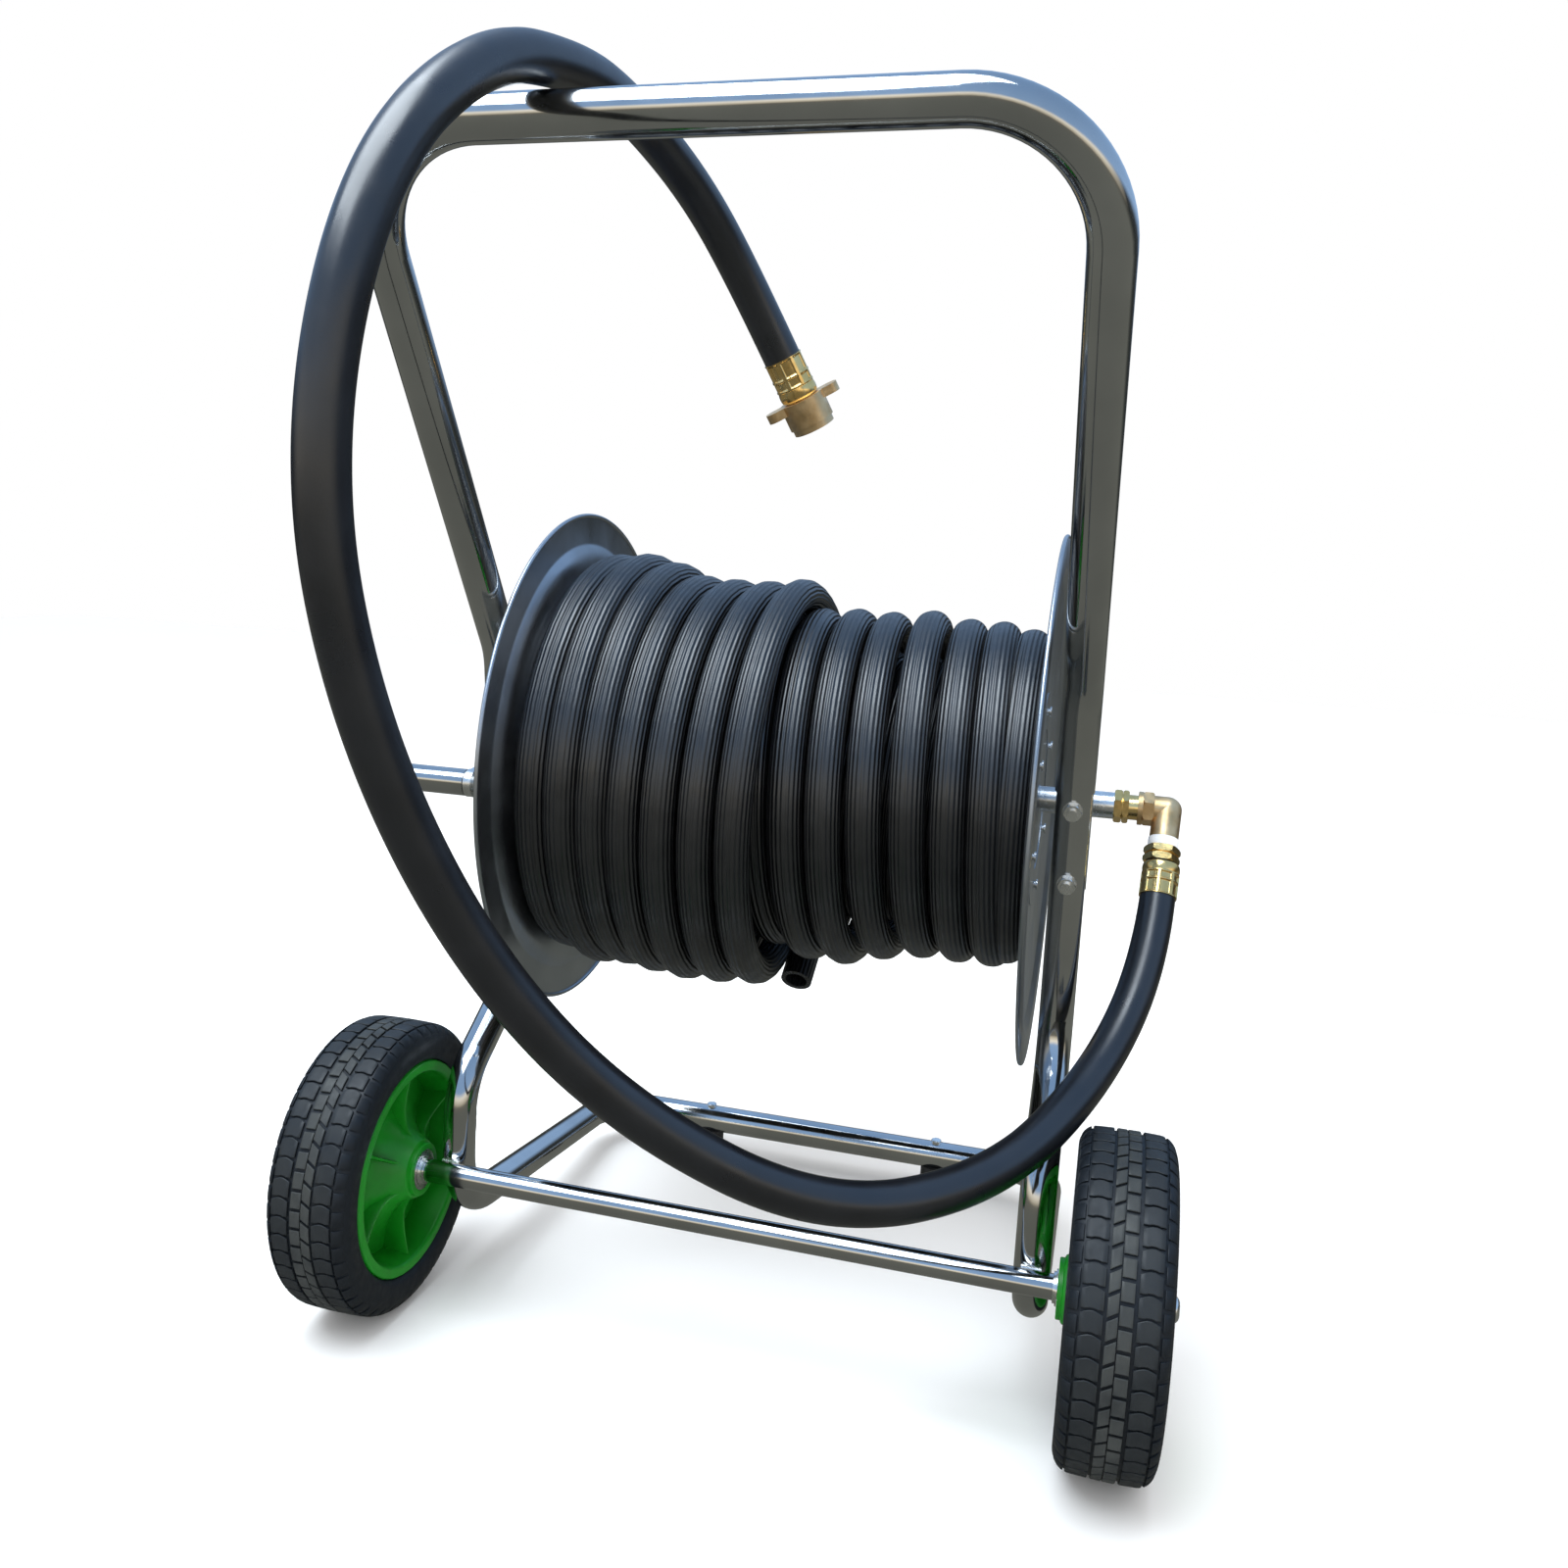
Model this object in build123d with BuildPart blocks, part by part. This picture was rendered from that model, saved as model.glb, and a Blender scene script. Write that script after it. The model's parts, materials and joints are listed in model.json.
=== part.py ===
from build123d import *
import os
from math import cos, pi, radians, sin, tan

# Garden hose reel cart. Millimetres, +Z up, floor at Z = 0.
# +X runs along the axles, towards the water inlet. +Y is the front, where the two feet are.
# The handle leans back towards -Y. X = 0 is the middle of the frame, and Y = 0 the middle of its box.

os.makedirs("parts", exist_ok=True)

# ---------------------------------------------------------------- driving dimensions
wheel_radius = 127.5
tyre_width = 74.4
wheel_x = 319.0
rim_lip_radius = 95.0
rim_floor_radius = 80.0
rim_ribs = 6
bearing_outer_radius = 17.5
shaft_radius = 8.5
running_gap = 0.05
body_gap = 0.3

leg_x = 254.0
handle_od = 32.0
handle_wall = 1.5
base_od = handle_od - 2 * handle_wall - 0.1
base_wall = 1.5
axle_bar_od = 20.0
tube_bend_radius = 60.0
handle_corner_radius = 93.0

# side outline of the frame, as (y, z) of the tube centre lines
axle_y = -137.0
axle_z = wheel_radius
handle_top = (-309.0, 959.0)
handle_bend = (-50.3, 586.0)
sleeve_end = (-40.0, 505.5)
knee = (-10.0, 270.5)
rear_drop_y = axle_y + axle_bar_od / 2 + base_od / 2
rear_bend = (rear_drop_y, 203.0)
rear_corner = (rear_drop_y, 83.0)
front_bar = (277.8, 34.0)
sleeve_overlap = 62.0

# drum
drum_y = 85.7
drum_z = 475.3
pipe_radius = 12.0
pipe_wall = 2.3
barrel_radius = 97.0
flange_radius = 239.0
flange_x = 229.5
hose_od = 30.0
coil_half_width = 214.0
outer_layer_end_x = 20.0
full_layers_radius = barrel_radius + 2 * hose_od + 0.5
outer_layer_radius = 195.5
outer_layer_drop = 8.0

# crank, on the left end of the drum pipe
crank_x = -286.0
crank_arm_thickness = 6.0
crank_grip_y = -37.0
crank_grip_z = 460.5
grip_radius = 12.5
grip_start_x = -292.0

# water inlet, on the right end of the drum pipe
elbow_x = 332.0
elbow_radius = 12.4
inlet_lean = 32.0
leader_od = 32.0

AXLE = Axis((0, axle_y, axle_z), (1, 0, 0))
DRUM = Axis((0, drum_y, drum_z), (1, 0, 0))
GRIP = Axis((0, crank_grip_y, crank_grip_z), (1, 0, 0))


# ---------------------------------------------------------------- helpers
def keep(builder, name):
    """Label a finished piece and write its STEP file."""
    builder.part.label = name
    export_step(builder.part, f"parts/{name}.step")


def plane_through(axis):
    """Plane of X and Z that holds an axis along X: local x is X, local y is the radius."""
    return Plane(origin=axis.position, x_dir=(1, 0, 0), z_dir=(0, -1, 0))


def turned(axis, outline):
    """A closed outline of (x, radius) points, revolved about an axis along X."""
    with BuildPart() as piece:
        with BuildSketch(plane_through(axis)):
            with BuildLine():
                Polyline(*outline, close=True)
            make_face()
        revolve(axis=axis)
    return piece.part


def ring(axis, start_x, end_x, outer, inner=0.0):
    """A plain disc or ring along X."""
    return turned(axis, [(start_x, inner), (end_x, inner), (end_x, outer), (start_x, outer)])


def across(plane, length, radius, bore=0.0):
    """A round rod or ring that rises along a plane's normal."""
    with BuildPart() as piece:
        with BuildSketch(plane):
            Circle(radius)
            if bore:
                Circle(bore, mode=Mode.SUBTRACT)
        extrude(amount=length)
    return piece.part


def hexagon(plane, length, across_flats, bore=0.0):
    """A hexagon prism that rises along a plane's normal, chamfered round at both ends."""
    corner = across_flats / 2 / cos(radians(30))
    with BuildPart() as limits:
        add(across(plane, length, corner))
        chamfer(limits.edges().filter_by(GeomType.CIRCLE), 0.055 * across_flats)
    with BuildPart() as piece:
        with BuildSketch(plane):
            RegularPolygon(radius=corner, side_count=6)
        extrude(amount=length)
        add(limits.part, mode=Mode.INTERSECT)
        if bore:
            add(across(plane, length, bore), mode=Mode.SUBTRACT)
    return piece.part


def piped(path, outer, inner=0.0):
    """A round bar or tube swept along a wire."""
    start = Plane(origin=path @ 0, z_dir=path % 0)
    with BuildPart() as piece:
        with BuildSketch(start):
            Circle(outer)
            if inner:
                Circle(inner, mode=Mode.SUBTRACT)
        sweep(path=path)
    return piece.part


def unit(a, b):
    """Unit vector from point a to point b."""
    return (Vector(*b) - Vector(*a)).normalized()


# ---------------------------------------------------------------- frame tubes
sleeve_direction = unit((0, *sleeve_end), (0, *handle_bend))
insert_top = Vector(0, *sleeve_end) + sleeve_direction * sleeve_overlap


def side_point(point, side):
    return (side * leg_x, point[0], point[1])


# the handle: an upside-down U whose lower ends are sleeves
with BuildLine() as handle_path:
    FilletPolyline(
        side_point(sleeve_end, 1),
        side_point(handle_bend, 1),
        side_point(handle_top, 1),
        side_point(handle_top, -1),
        side_point(handle_bend, -1),
        side_point(sleeve_end, -1),
        radius=[tube_bend_radius, handle_corner_radius, handle_corner_radius, tube_bend_radius],
    )
with BuildPart() as handle_tube:
    add(piped(handle_path.wire(), handle_od / 2, handle_od / 2 - handle_wall))
keep(handle_tube, "handle_tube")

# the base: one tube from sleeve to sleeve, down behind the drum, under the axle and round the front
insert_end = (insert_top.Y, insert_top.Z)
side_outline = [insert_end, knee, rear_bend, rear_corner, front_bar]
base_points = [side_point(p, 1) for p in side_outline] + [side_point(p, -1) for p in reversed(side_outline)]
with BuildLine() as base_path:
    FilletPolyline(*base_points, radius=[tube_bend_radius] * (len(base_points) - 2))

# places of the bracket bolts, which pass through the uprights of the base tube
bolt_radius = 4.0
bolt_heights = (492.5, 430.5)
tube_down = unit((0, *sleeve_end), (0, *knee))
tube_forward = Vector(0, -tube_down.Z, tube_down.Y)


def on_tube(height):
    """Point on the centre line of the base tube's upright, at a height, for X = 0."""
    share = (height - sleeve_end[1]) / (knee[1] - sleeve_end[1])
    return Vector(0, sleeve_end[0] + share * (knee[0] - sleeve_end[0]), height)


bolt_spots = [
    on_tube(height) + Vector(side * leg_x, 0, 0) for side in (-1, 1) for height in bolt_heights
]

with BuildPart() as base_tube:
    add(piped(base_path.wire(), base_od / 2, base_od / 2 - base_wall))
    for spot in bolt_spots:
        behind = Plane(origin=spot - tube_forward * base_od, z_dir=tube_forward)
        add(across(behind, 2 * base_od, bolt_radius), mode=Mode.SUBTRACT)
keep(base_tube, "base_tube")

# ---------------------------------------------------------------- axle
bar_half = 272.0
hub_inward = 43.5
hub_outward = 30.0
nut_start = wheel_x + hub_outward + 2.5
nut_length = 9.0
nut_across_flats = 24.0
shaft_half = nut_start + 9.0

with BuildPart() as axle_bar:
    add(ring(AXLE, -bar_half, bar_half, axle_bar_od / 2, shaft_radius))
keep(axle_bar, "axle_bar")

with BuildPart() as axle_shaft:
    add(ring(AXLE, -shaft_half, shaft_half, shaft_radius))
keep(axle_shaft, "axle_shaft")

# weld beads in the grooves between the axle bar and the two drops of the base tube
weld_radius = 2.5
weld_length = 16.0
weld_y = axle_y + axle_bar_od / 2 - 0.6
weld_rise = 6.5
with BuildPart() as axle_welds:
    for side in (-1, 1):
        for lift in (-weld_rise, weld_rise):
            start = Plane(origin=(side * leg_x - weld_length / 2, weld_y, axle_z + lift), z_dir=(1, 0, 0))
            add(across(start, weld_length, weld_radius))
keep(axle_welds, "axle_welds")

# spacers between the bar and the inner bearings, with a thin washer on each side of the wheel
hub_inner_x = wheel_x - hub_inward
hub_outer_x = wheel_x + hub_outward
spacer_radius = 12.0
washer_radius = 15.0
washer_length = 2.0
with BuildPart() as axle_spacers:
    for side in (-1, 1):
        spacer_end = hub_inner_x - body_gap
        add(ring(AXLE, side * bar_half, side * (spacer_end - 1.2), spacer_radius, shaft_radius))
        add(ring(AXLE, side * (spacer_end - 1.2), side * spacer_end, washer_radius - 1, shaft_radius))
keep(axle_spacers, "axle_spacers")

with BuildPart() as axle_washers:
    for side in (-1, 1):
        outer = hub_outer_x + body_gap
        add(ring(AXLE, side * outer, side * (nut_start), washer_radius, shaft_radius))
keep(axle_washers, "axle_washers")

# domed cap nuts over the shaft ends
dome_radius = 10.5
dome_start = nut_start + nut_length
dome_rise = 6.0


def dome(side):
    """Rounded end of one cap nut."""
    start = Plane(origin=(side * dome_start, axle_y, axle_z), z_dir=(side, 0, 0))
    with BuildPart() as piece:
        add(across(start, dome_rise, dome_radius))
        fillet(piece.edges().sort_by(Axis.X)[-1 if side > 0 else 0], radius=dome_rise - 0.5)
    return piece.part


with BuildPart() as axle_nuts:
    for side in (-1, 1):
        face = Plane(origin=(side * nut_start, axle_y, axle_z), z_dir=(side, 0, 0))
        add(hexagon(face, nut_length, nut_across_flats))
        add(dome(side))
    add(ring(AXLE, -shaft_half, shaft_half, shaft_radius), mode=Mode.SUBTRACT)
keep(axle_nuts, "axle_nuts")


# ---------------------------------------------------------------- wheels
def tyre(side):
    """Solid tyre with a rounded crown, filling the channel of the rim."""
    half = tyre_width / 2
    crown = wheel_radius
    seat = rim_lip_radius + 0.2
    channel = rim_floor_radius + 4.6
    channel_half = 28.0
    centre = side * wheel_x
    with BuildPart() as piece:
        with BuildSketch(plane_through(AXLE)):
            with BuildLine():
                left = (centre - half, crown - 19)
                right = (centre + half, crown - 19)
                left_shoulder = (centre - half + 13, crown - 1.4)
                right_shoulder = (centre + half - 13, crown - 1.4)
                ThreePointArc(left, (centre - half + 3.6, crown - 7.0), left_shoulder)
                ThreePointArc(left_shoulder, (centre, crown), right_shoulder)
                ThreePointArc(right_shoulder, (centre + half - 3.6, crown - 7.0), right)
                Polyline(
                    right,
                    (centre + half - 2, seat),
                    (centre + channel_half, seat),
                    (centre + channel_half, channel),
                    (centre - channel_half, channel),
                    (centre - channel_half, seat),
                    (centre - half + 2, seat),
                    left,
                )
            make_face()
        revolve(axis=AXLE)
    return piece


def rim(side):
    """Plastic wheel centre: channel with two lips, a middle web, a hub and radial ribs on both faces."""
    centre = side * wheel_x
    lip_half = 35.0
    channel_half = 28.0
    floor = rim_floor_radius
    web_half = 3.5
    hub_radius = 24.0
    inner = -side * hub_inward
    outer = side * hub_outward
    rib_thickness = 4.5
    rib_half_width = 25.0
    rib_start = hub_radius - 3
    rib_length = floor + 1.5 - rib_start
    channel = [
        (centre - lip_half, floor + 3),
        (centre - lip_half + 4, floor),
        (centre + lip_half - 4, floor),
        (centre + lip_half, floor + 3),
        (centre + lip_half, rim_lip_radius - 2),
        (centre + lip_half - 2, rim_lip_radius),
        (centre + channel_half, rim_lip_radius),
        (centre + channel_half, floor + 4.5),
        (centre - channel_half, floor + 4.5),
        (centre - channel_half, rim_lip_radius),
        (centre - lip_half + 2, rim_lip_radius),
        (centre - lip_half, rim_lip_radius - 2),
    ]
    with BuildPart() as piece:
        add(turned(AXLE, channel))
        add(ring(AXLE, centre - web_half, centre + web_half, floor + 1, hub_radius - 2))
        add(ring(AXLE, centre + inner, centre + outer, hub_radius))
        middle = Plane(origin=(centre - rib_half_width, axle_y, axle_z), z_dir=(1, 0, 0))
        with BuildSketch(middle):
            with PolarLocations(rib_start + rib_length / 2, rim_ribs, start_angle=30):
                Rectangle(rib_length, rib_thickness)
        extrude(amount=2 * rib_half_width)
        bore = shaft_radius + 4.5
        add(ring(AXLE, centre + inner, centre + outer, bore), mode=Mode.SUBTRACT)
        seat = side * 10.0
        add(ring(AXLE, centre + inner, centre + inner + seat, bearing_outer_radius), mode=Mode.SUBTRACT)
        add(ring(AXLE, centre + outer, centre + outer - seat, bearing_outer_radius), mode=Mode.SUBTRACT)
    return piece


def bearings(side):
    """The two ball bearings of one wheel, with recessed faces between the rings."""
    centre = side * wheel_x
    bore = shaft_radius + running_gap
    width = 10.0
    recess = 0.8
    with BuildPart() as piece:
        for start in (centre - side * hub_inward, centre + side * (hub_outward - width)):
            end = start + side * width
            add(ring(AXLE, start, end, bearing_outer_radius, bore))
            for face, inward in ((start, side), (end, -side)):
                add(
                    ring(AXLE, face, face + inward * recess, bearing_outer_radius - 3.2, bore + 3),
                    mode=Mode.SUBTRACT,
                )
    return piece


for name, side in (("left", -1), ("right", 1)):
    keep(tyre(side), f"tyre_{name}")
    keep(rim(side), f"rim_{name}")
    keep(bearings(side), f"bearings_{name}")

# ---------------------------------------------------------------- front feet
foot_x = 130.0
foot_radius = 15.0
foot_embed = 3.0
bar_y, bar_z = front_bar


def front_bar_solid():
    """The straight middle of the front bar, as a solid to cut with."""
    start = Plane(origin=(-leg_x * 0.8, bar_y, bar_z), z_dir=(1, 0, 0))
    return across(start, leg_x * 1.6, base_od / 2)


with BuildPart() as rubber_feet:
    for side in (-1, 1):
        floor_spot = Plane(origin=(side * foot_x, bar_y, 0), z_dir=(0, 0, 1))
        foot_height = bar_z - base_od / 2 + foot_embed
        foot = across(floor_spot, foot_height, foot_radius)
        add(foot)
    chamfer(rubber_feet.faces().filter_by(Axis.Z).sort_by(Axis.Z)[:2].edges(), length=1.5)
    add(front_bar_solid(), mode=Mode.SUBTRACT)
keep(rubber_feet, "rubber_feet")

# pan heads of the screws that come up through the front bar
screw_head_radius = 5.5
screw_head_height = 3.4
with BuildPart() as foot_screws:
    for side in (-1, 1):
        seat_z = bar_z + base_od / 2 - 1.0
        seat = Plane(origin=(side * foot_x, bar_y, seat_z), z_dir=(0, 0, 1))
        add(across(seat, screw_head_height + 1.0, screw_head_radius))
    fillet(foot_screws.faces().filter_by(Axis.Z).sort_by(Axis.Z)[-2:].edges(), radius=1.6)
    add(front_bar_solid(), mode=Mode.SUBTRACT)
keep(foot_screws, "foot_screws")

# ---------------------------------------------------------------- drum brackets
# each bracket is a strap bolted to the front of the base tube and a gusset that carries the pipe bush
strap_thickness = 5.0
strap_width = 30.0
gusset_thickness = 6.0
housing_radius = 21.0
housing_length = 22.0
housing_x = 250.0
bush_radius = 17.0
strap_back = base_od / 2
strap_front = strap_back + strap_thickness
strap_top = on_tube(bolt_heights[0]) - tube_down * 12
strap_bottom = on_tube(bolt_heights[1]) + tube_down * 14


def bracket(side):
    """Strap, gusset and bush housing of one side."""
    corners = [
        strap_top + tube_forward * strap_back,
        strap_top + tube_forward * strap_front,
        strap_bottom + tube_forward * strap_front,
        strap_bottom + tube_forward * strap_back,
    ]
    gusset = [
        strap_top + tube_forward * (strap_front - 1) + tube_down * 2,
        Vector(0, drum_y - 6, drum_z + housing_radius - 2),
        Vector(0, drum_y + 8, drum_z - housing_radius + 3),
        strap_bottom + tube_forward * (strap_front - 1) - tube_down * 2,
    ]
    yz = Plane(origin=(side * leg_x - strap_width / 2, 0, 0), x_dir=(0, 1, 0), z_dir=(1, 0, 0))
    web_x = side * (leg_x - strap_width / 2 + gusset_thickness / 2) - gusset_thickness / 2
    web = Plane(origin=(web_x, 0, 0), x_dir=(0, 1, 0), z_dir=(1, 0, 0))
    half = housing_length / 2
    with BuildPart() as piece:
        with BuildSketch(yz):
            with BuildLine():
                Polyline(*[(c.Y, c.Z) for c in corners], close=True)
            make_face()
        extrude(amount=strap_width)
        with BuildSketch(web):
            with BuildLine():
                Polyline(*[(c.Y, c.Z) for c in gusset], close=True)
            make_face()
        extrude(amount=gusset_thickness)
        add(ring(DRUM, side * housing_x - half, side * housing_x + half, housing_radius))
        add(ring(DRUM, side * housing_x - half, side * housing_x + half, bush_radius), mode=Mode.SUBTRACT)
        for height in bolt_heights:
            hole = Plane(origin=on_tube(height) + Vector(side * leg_x, 0, 0), z_dir=tube_forward)
            add(across(hole, 40, bolt_radius), mode=Mode.SUBTRACT)
    return piece


keep(bracket(-1), "bracket_left")
keep(bracket(1), "bracket_right")

with BuildPart() as pipe_bushes:
    half = housing_length / 2
    for side in (-1, 1):
        add(ring(DRUM, side * housing_x - half, side * housing_x + half, bush_radius, pipe_radius + running_gap))
keep(pipe_bushes, "pipe_bushes")

# bolts run from a round head on the strap, through the tube, to a washer and hex nut at the back
bolt_head_radius = 7.0
bolt_head_height = 4.4
bolt_nut_across_flats = 13.0
bolt_nut_height = 6.5
bolt_washer_radius = 8.0
bolt_washer_height = 1.6
bolt_tail = 3.5
tube_backward = tube_forward * -1
washer_seat = base_od / 2 + 0.02

with BuildPart() as bracket_washers:
    for spot in bolt_spots:
        seat = Plane(origin=spot + tube_backward * washer_seat, z_dir=tube_backward)
        add(across(seat, bolt_washer_height, bolt_washer_radius, bolt_radius))
keep(bracket_washers, "bracket_washers")

nut_seat = washer_seat + bolt_washer_height
with BuildPart() as bracket_nuts:
    for spot in bolt_spots:
        seat = Plane(origin=spot + tube_backward * nut_seat, x_dir=(1, 0, 0), z_dir=tube_backward)
        add(hexagon(seat, bolt_nut_height, bolt_nut_across_flats, bolt_radius))
keep(bracket_nuts, "bracket_nuts")

with BuildPart() as bracket_bolts:
    for spot in bolt_spots:
        tail = nut_seat + bolt_nut_height + bolt_tail
        tail_end = Plane(origin=spot + tube_backward * tail, z_dir=tube_forward)
        add(across(tail_end, tail + strap_front, bolt_radius))
        head_seat = Plane(origin=spot + tube_forward * strap_front, z_dir=tube_forward)
        add(across(head_seat, bolt_head_height, bolt_head_radius))
keep(bracket_bolts, "bracket_bolts")

# ---------------------------------------------------------------- drum
pipe_left = -296.0
pipe_right = 288.5
barrel_half = flange_x - 8.0
sheet = 2.0
bead_radius = 2.0
bead_centre = flange_radius - bead_radius
flange_bolt_count = 6
flange_bolt_circle = 80.0
flange_bolt_radius = 3.0

with BuildPart() as drum_pipe:
    add(ring(DRUM, pipe_left, pipe_right, pipe_radius, pipe_radius - pipe_wall))
keep(drum_pipe, "drum_pipe")

with BuildPart() as drum_barrel:
    add(ring(DRUM, -barrel_half, barrel_half, barrel_radius, barrel_radius - sheet))
keep(drum_barrel, "drum_barrel")


def flange(side):
    """Spun disc: rolled bead, flat outer band, step, and a shallow dish in to the pipe."""
    band = side * flange_x
    step_radius = 206.0
    step_in = side * (flange_x - 6)
    dish_in = side * barrel_half
    dish_radius = 150.0
    hub_radius = 30.0
    skin = side * sheet
    outline = [
        (dish_in, pipe_radius),
        (dish_in, dish_radius),
        (step_in, step_radius - 2),
        (band, step_radius),
        (band, bead_centre),
        (band + skin, bead_centre),
        (band + skin, step_radius - 0.5),
        (step_in + skin, step_radius - 2.5),
        (dish_in + skin, dish_radius - 0.5),
        (dish_in + skin, hub_radius),
        (dish_in + 5 * skin, hub_radius),
        (dish_in + 5 * skin, pipe_radius),
    ]
    with BuildPart() as piece:
        add(turned(DRUM, outline))
        with BuildSketch(plane_through(DRUM)):
            with Locations((band, bead_centre)):
                Circle(bead_radius)
        revolve(axis=DRUM)
        with BuildSketch(Plane(origin=(dish_in, drum_y, drum_z), z_dir=(side, 0, 0))):
            with PolarLocations(flange_bolt_circle, flange_bolt_count):
                Circle(flange_bolt_radius)
        extrude(amount=sheet, mode=Mode.SUBTRACT)
    return piece


keep(flange(-1), "flange_left")
keep(flange(1), "flange_right")

# low-head bolts that hold each flange to the barrel's end ring
flange_bolt_head = 5.0
flange_bolt_head_height = 1.4
with BuildPart() as flange_bolts:
    for side in (-1, 1):
        outside = Plane(origin=(side * (barrel_half + sheet), drum_y, drum_z), z_dir=(side, 0, 0))
        with BuildSketch(outside):
            with PolarLocations(flange_bolt_circle, flange_bolt_count):
                Circle(flange_bolt_head)
        extrude(amount=flange_bolt_head_height)
        with BuildSketch(outside):
            with PolarLocations(flange_bolt_circle, flange_bolt_count):
                Circle(flange_bolt_radius)
        extrude(amount=-(sheet + 10))
keep(flange_bolts, "flange_bolts")

with BuildPart() as barrel_rings:
    for side in (-1, 1):
        end = side * barrel_half
        ring_part = ring(DRUM, end, end - side * 6, barrel_radius - sheet, flange_bolt_circle - 16)
        add(ring_part)
        inside = Plane(origin=(side * barrel_half, drum_y, drum_z), z_dir=(side, 0, 0))
        with BuildSketch(inside):
            with PolarLocations(flange_bolt_circle, flange_bolt_count):
                Circle(flange_bolt_radius)
        extrude(amount=-6, mode=Mode.SUBTRACT)
keep(barrel_rings, "barrel_rings")

# outlet stub from the pipe to the first turn of hose
outlet_x = -184.0
outlet_radius = 10.0
with BuildPart() as hose_outlet:
    stub = Plane(origin=(outlet_x, drum_y, drum_z), z_dir=(0, 0, 1))
    add(across(stub, barrel_radius - sheet - 0.5, outlet_radius))
    add(ring(DRUM, outlet_x - 16, outlet_x + 16, pipe_radius), mode=Mode.SUBTRACT)
keep(hose_outlet, "hose_outlet")

# the wound hose, as the outer shape of its turns: two full layers, and a looser one over the left half
edge = 8.0
with BuildPart() as hose_winding:
    shoulder = full_layers_radius - edge
    outline = [
        (-coil_half_width, barrel_radius + 0.1),
        (coil_half_width, barrel_radius + 0.1),
        (coil_half_width, shoulder),
        (coil_half_width - edge, full_layers_radius),
        (-coil_half_width + edge, full_layers_radius),
        (-coil_half_width, shoulder),
    ]
    add(turned(DRUM, outline))
keep(hose_winding, "hose_winding")

dropped_axis = Axis((0, drum_y, drum_z - outer_layer_drop), (1, 0, 0))
with BuildPart() as outer_winding:
    hollow = full_layers_radius + outer_layer_drop + 0.5
    shoulder = outer_layer_radius - edge
    outline = [
        (-coil_half_width, hollow),
        (outer_layer_end_x, hollow),
        (outer_layer_end_x, shoulder),
        (outer_layer_end_x - edge, outer_layer_radius),
        (-coil_half_width + edge, outer_layer_radius),
        (-coil_half_width, shoulder),
    ]
    add(turned(dropped_axis, outline))
keep(outer_winding, "outer_winding")

# ---------------------------------------------------------------- crank
arm_inner = crank_x + crank_arm_thickness / 2
arm_outer = crank_x - crank_arm_thickness / 2
hub_radius = 19.0
arm_width = 26.0
grip_bolt_radius = 5.0

arm_vector = Vector(0, crank_grip_y - drum_y, crank_grip_z - drum_z)
arm_length = arm_vector.length
arm_direction = arm_vector.normalized()
arm_plane = Plane(origin=(arm_outer, drum_y, drum_z), x_dir=arm_direction, z_dir=(1, 0, 0))
with BuildPart() as crank_arm:
    with BuildSketch(arm_plane):
        with Locations((arm_length / 2, 0)):
            SlotCenterToCenter(arm_length, arm_width)
        Circle(hub_radius)
        Circle(pipe_radius, mode=Mode.SUBTRACT)
        with Locations((arm_length, 0)):
            Circle(grip_bolt_radius, mode=Mode.SUBTRACT)
    extrude(amount=crank_arm_thickness)
keep(crank_arm, "crank_arm")

screw_radius = 3.0
screw_flats = 8.0
screw_head_length = 3.5
collar_length = 10.0
screw_start = Plane(origin=(arm_inner + collar_length / 2, drum_y, drum_z + pipe_radius + 0.1), z_dir=(0, 0, 1))
screw_length = hub_radius - pipe_radius
with BuildPart() as crank_hub:
    add(ring(DRUM, arm_inner, arm_inner + collar_length, hub_radius, pipe_radius))
    chamfer(crank_hub.edges().filter_by(GeomType.CIRCLE).sort_by(Axis.X)[-2:], length=0.8)
    add(across(screw_start.offset(-1.0), screw_length + 2.0, screw_radius), mode=Mode.SUBTRACT)
    add(ring(DRUM, pipe_left - 1, arm_outer, hub_radius - 2, pipe_radius))
keep(crank_hub, "crank_hub")

with BuildPart() as crank_set_screw:
    add(across(screw_start, screw_length, screw_radius))
    add(hexagon(screw_start.offset(screw_length), screw_head_length, screw_flats))
keep(crank_set_screw, "crank_set_screw")

# shoulder bolt for the grip: thin head inside the arm, nut hidden under the grip's end cap
grip_end_x = -(dome_start + dome_rise)
grip_tube_end = grip_end_x + 5.0
grip_nut_start = grip_tube_end + 10.0
with BuildPart() as grip_bolt:
    head = Plane(origin=(arm_inner, crank_grip_y, crank_grip_z), z_dir=(1, 0, 0))
    add(across(head, 3.5, 8.5))
    add(ring(GRIP, arm_inner, grip_nut_start - 4.0, grip_bolt_radius))
    lock = Plane(origin=(grip_nut_start, crank_grip_y, crank_grip_z), z_dir=(-1, 0, 0))
    add(across(lock, 3.0, 8.0))
keep(grip_bolt, "grip_bolt")

with BuildPart() as grip_washers:
    add(ring(GRIP, arm_outer, arm_outer - 1.4, grip_radius + 0.5, grip_bolt_radius))
    add(ring(GRIP, arm_outer - 1.4, grip_start_x + body_gap, grip_radius - 1.5, grip_bolt_radius))
keep(grip_washers, "grip_washers")

with BuildPart() as crank_grip:
    grip_wall = 1.5
    add(ring(GRIP, grip_tube_end, grip_start_x, grip_radius, grip_radius - grip_wall))
    bush_end = grip_nut_start + body_gap
    add(ring(GRIP, bush_end, grip_start_x, grip_radius - grip_wall, grip_bolt_radius + running_gap))
keep(crank_grip, "crank_grip")

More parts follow.
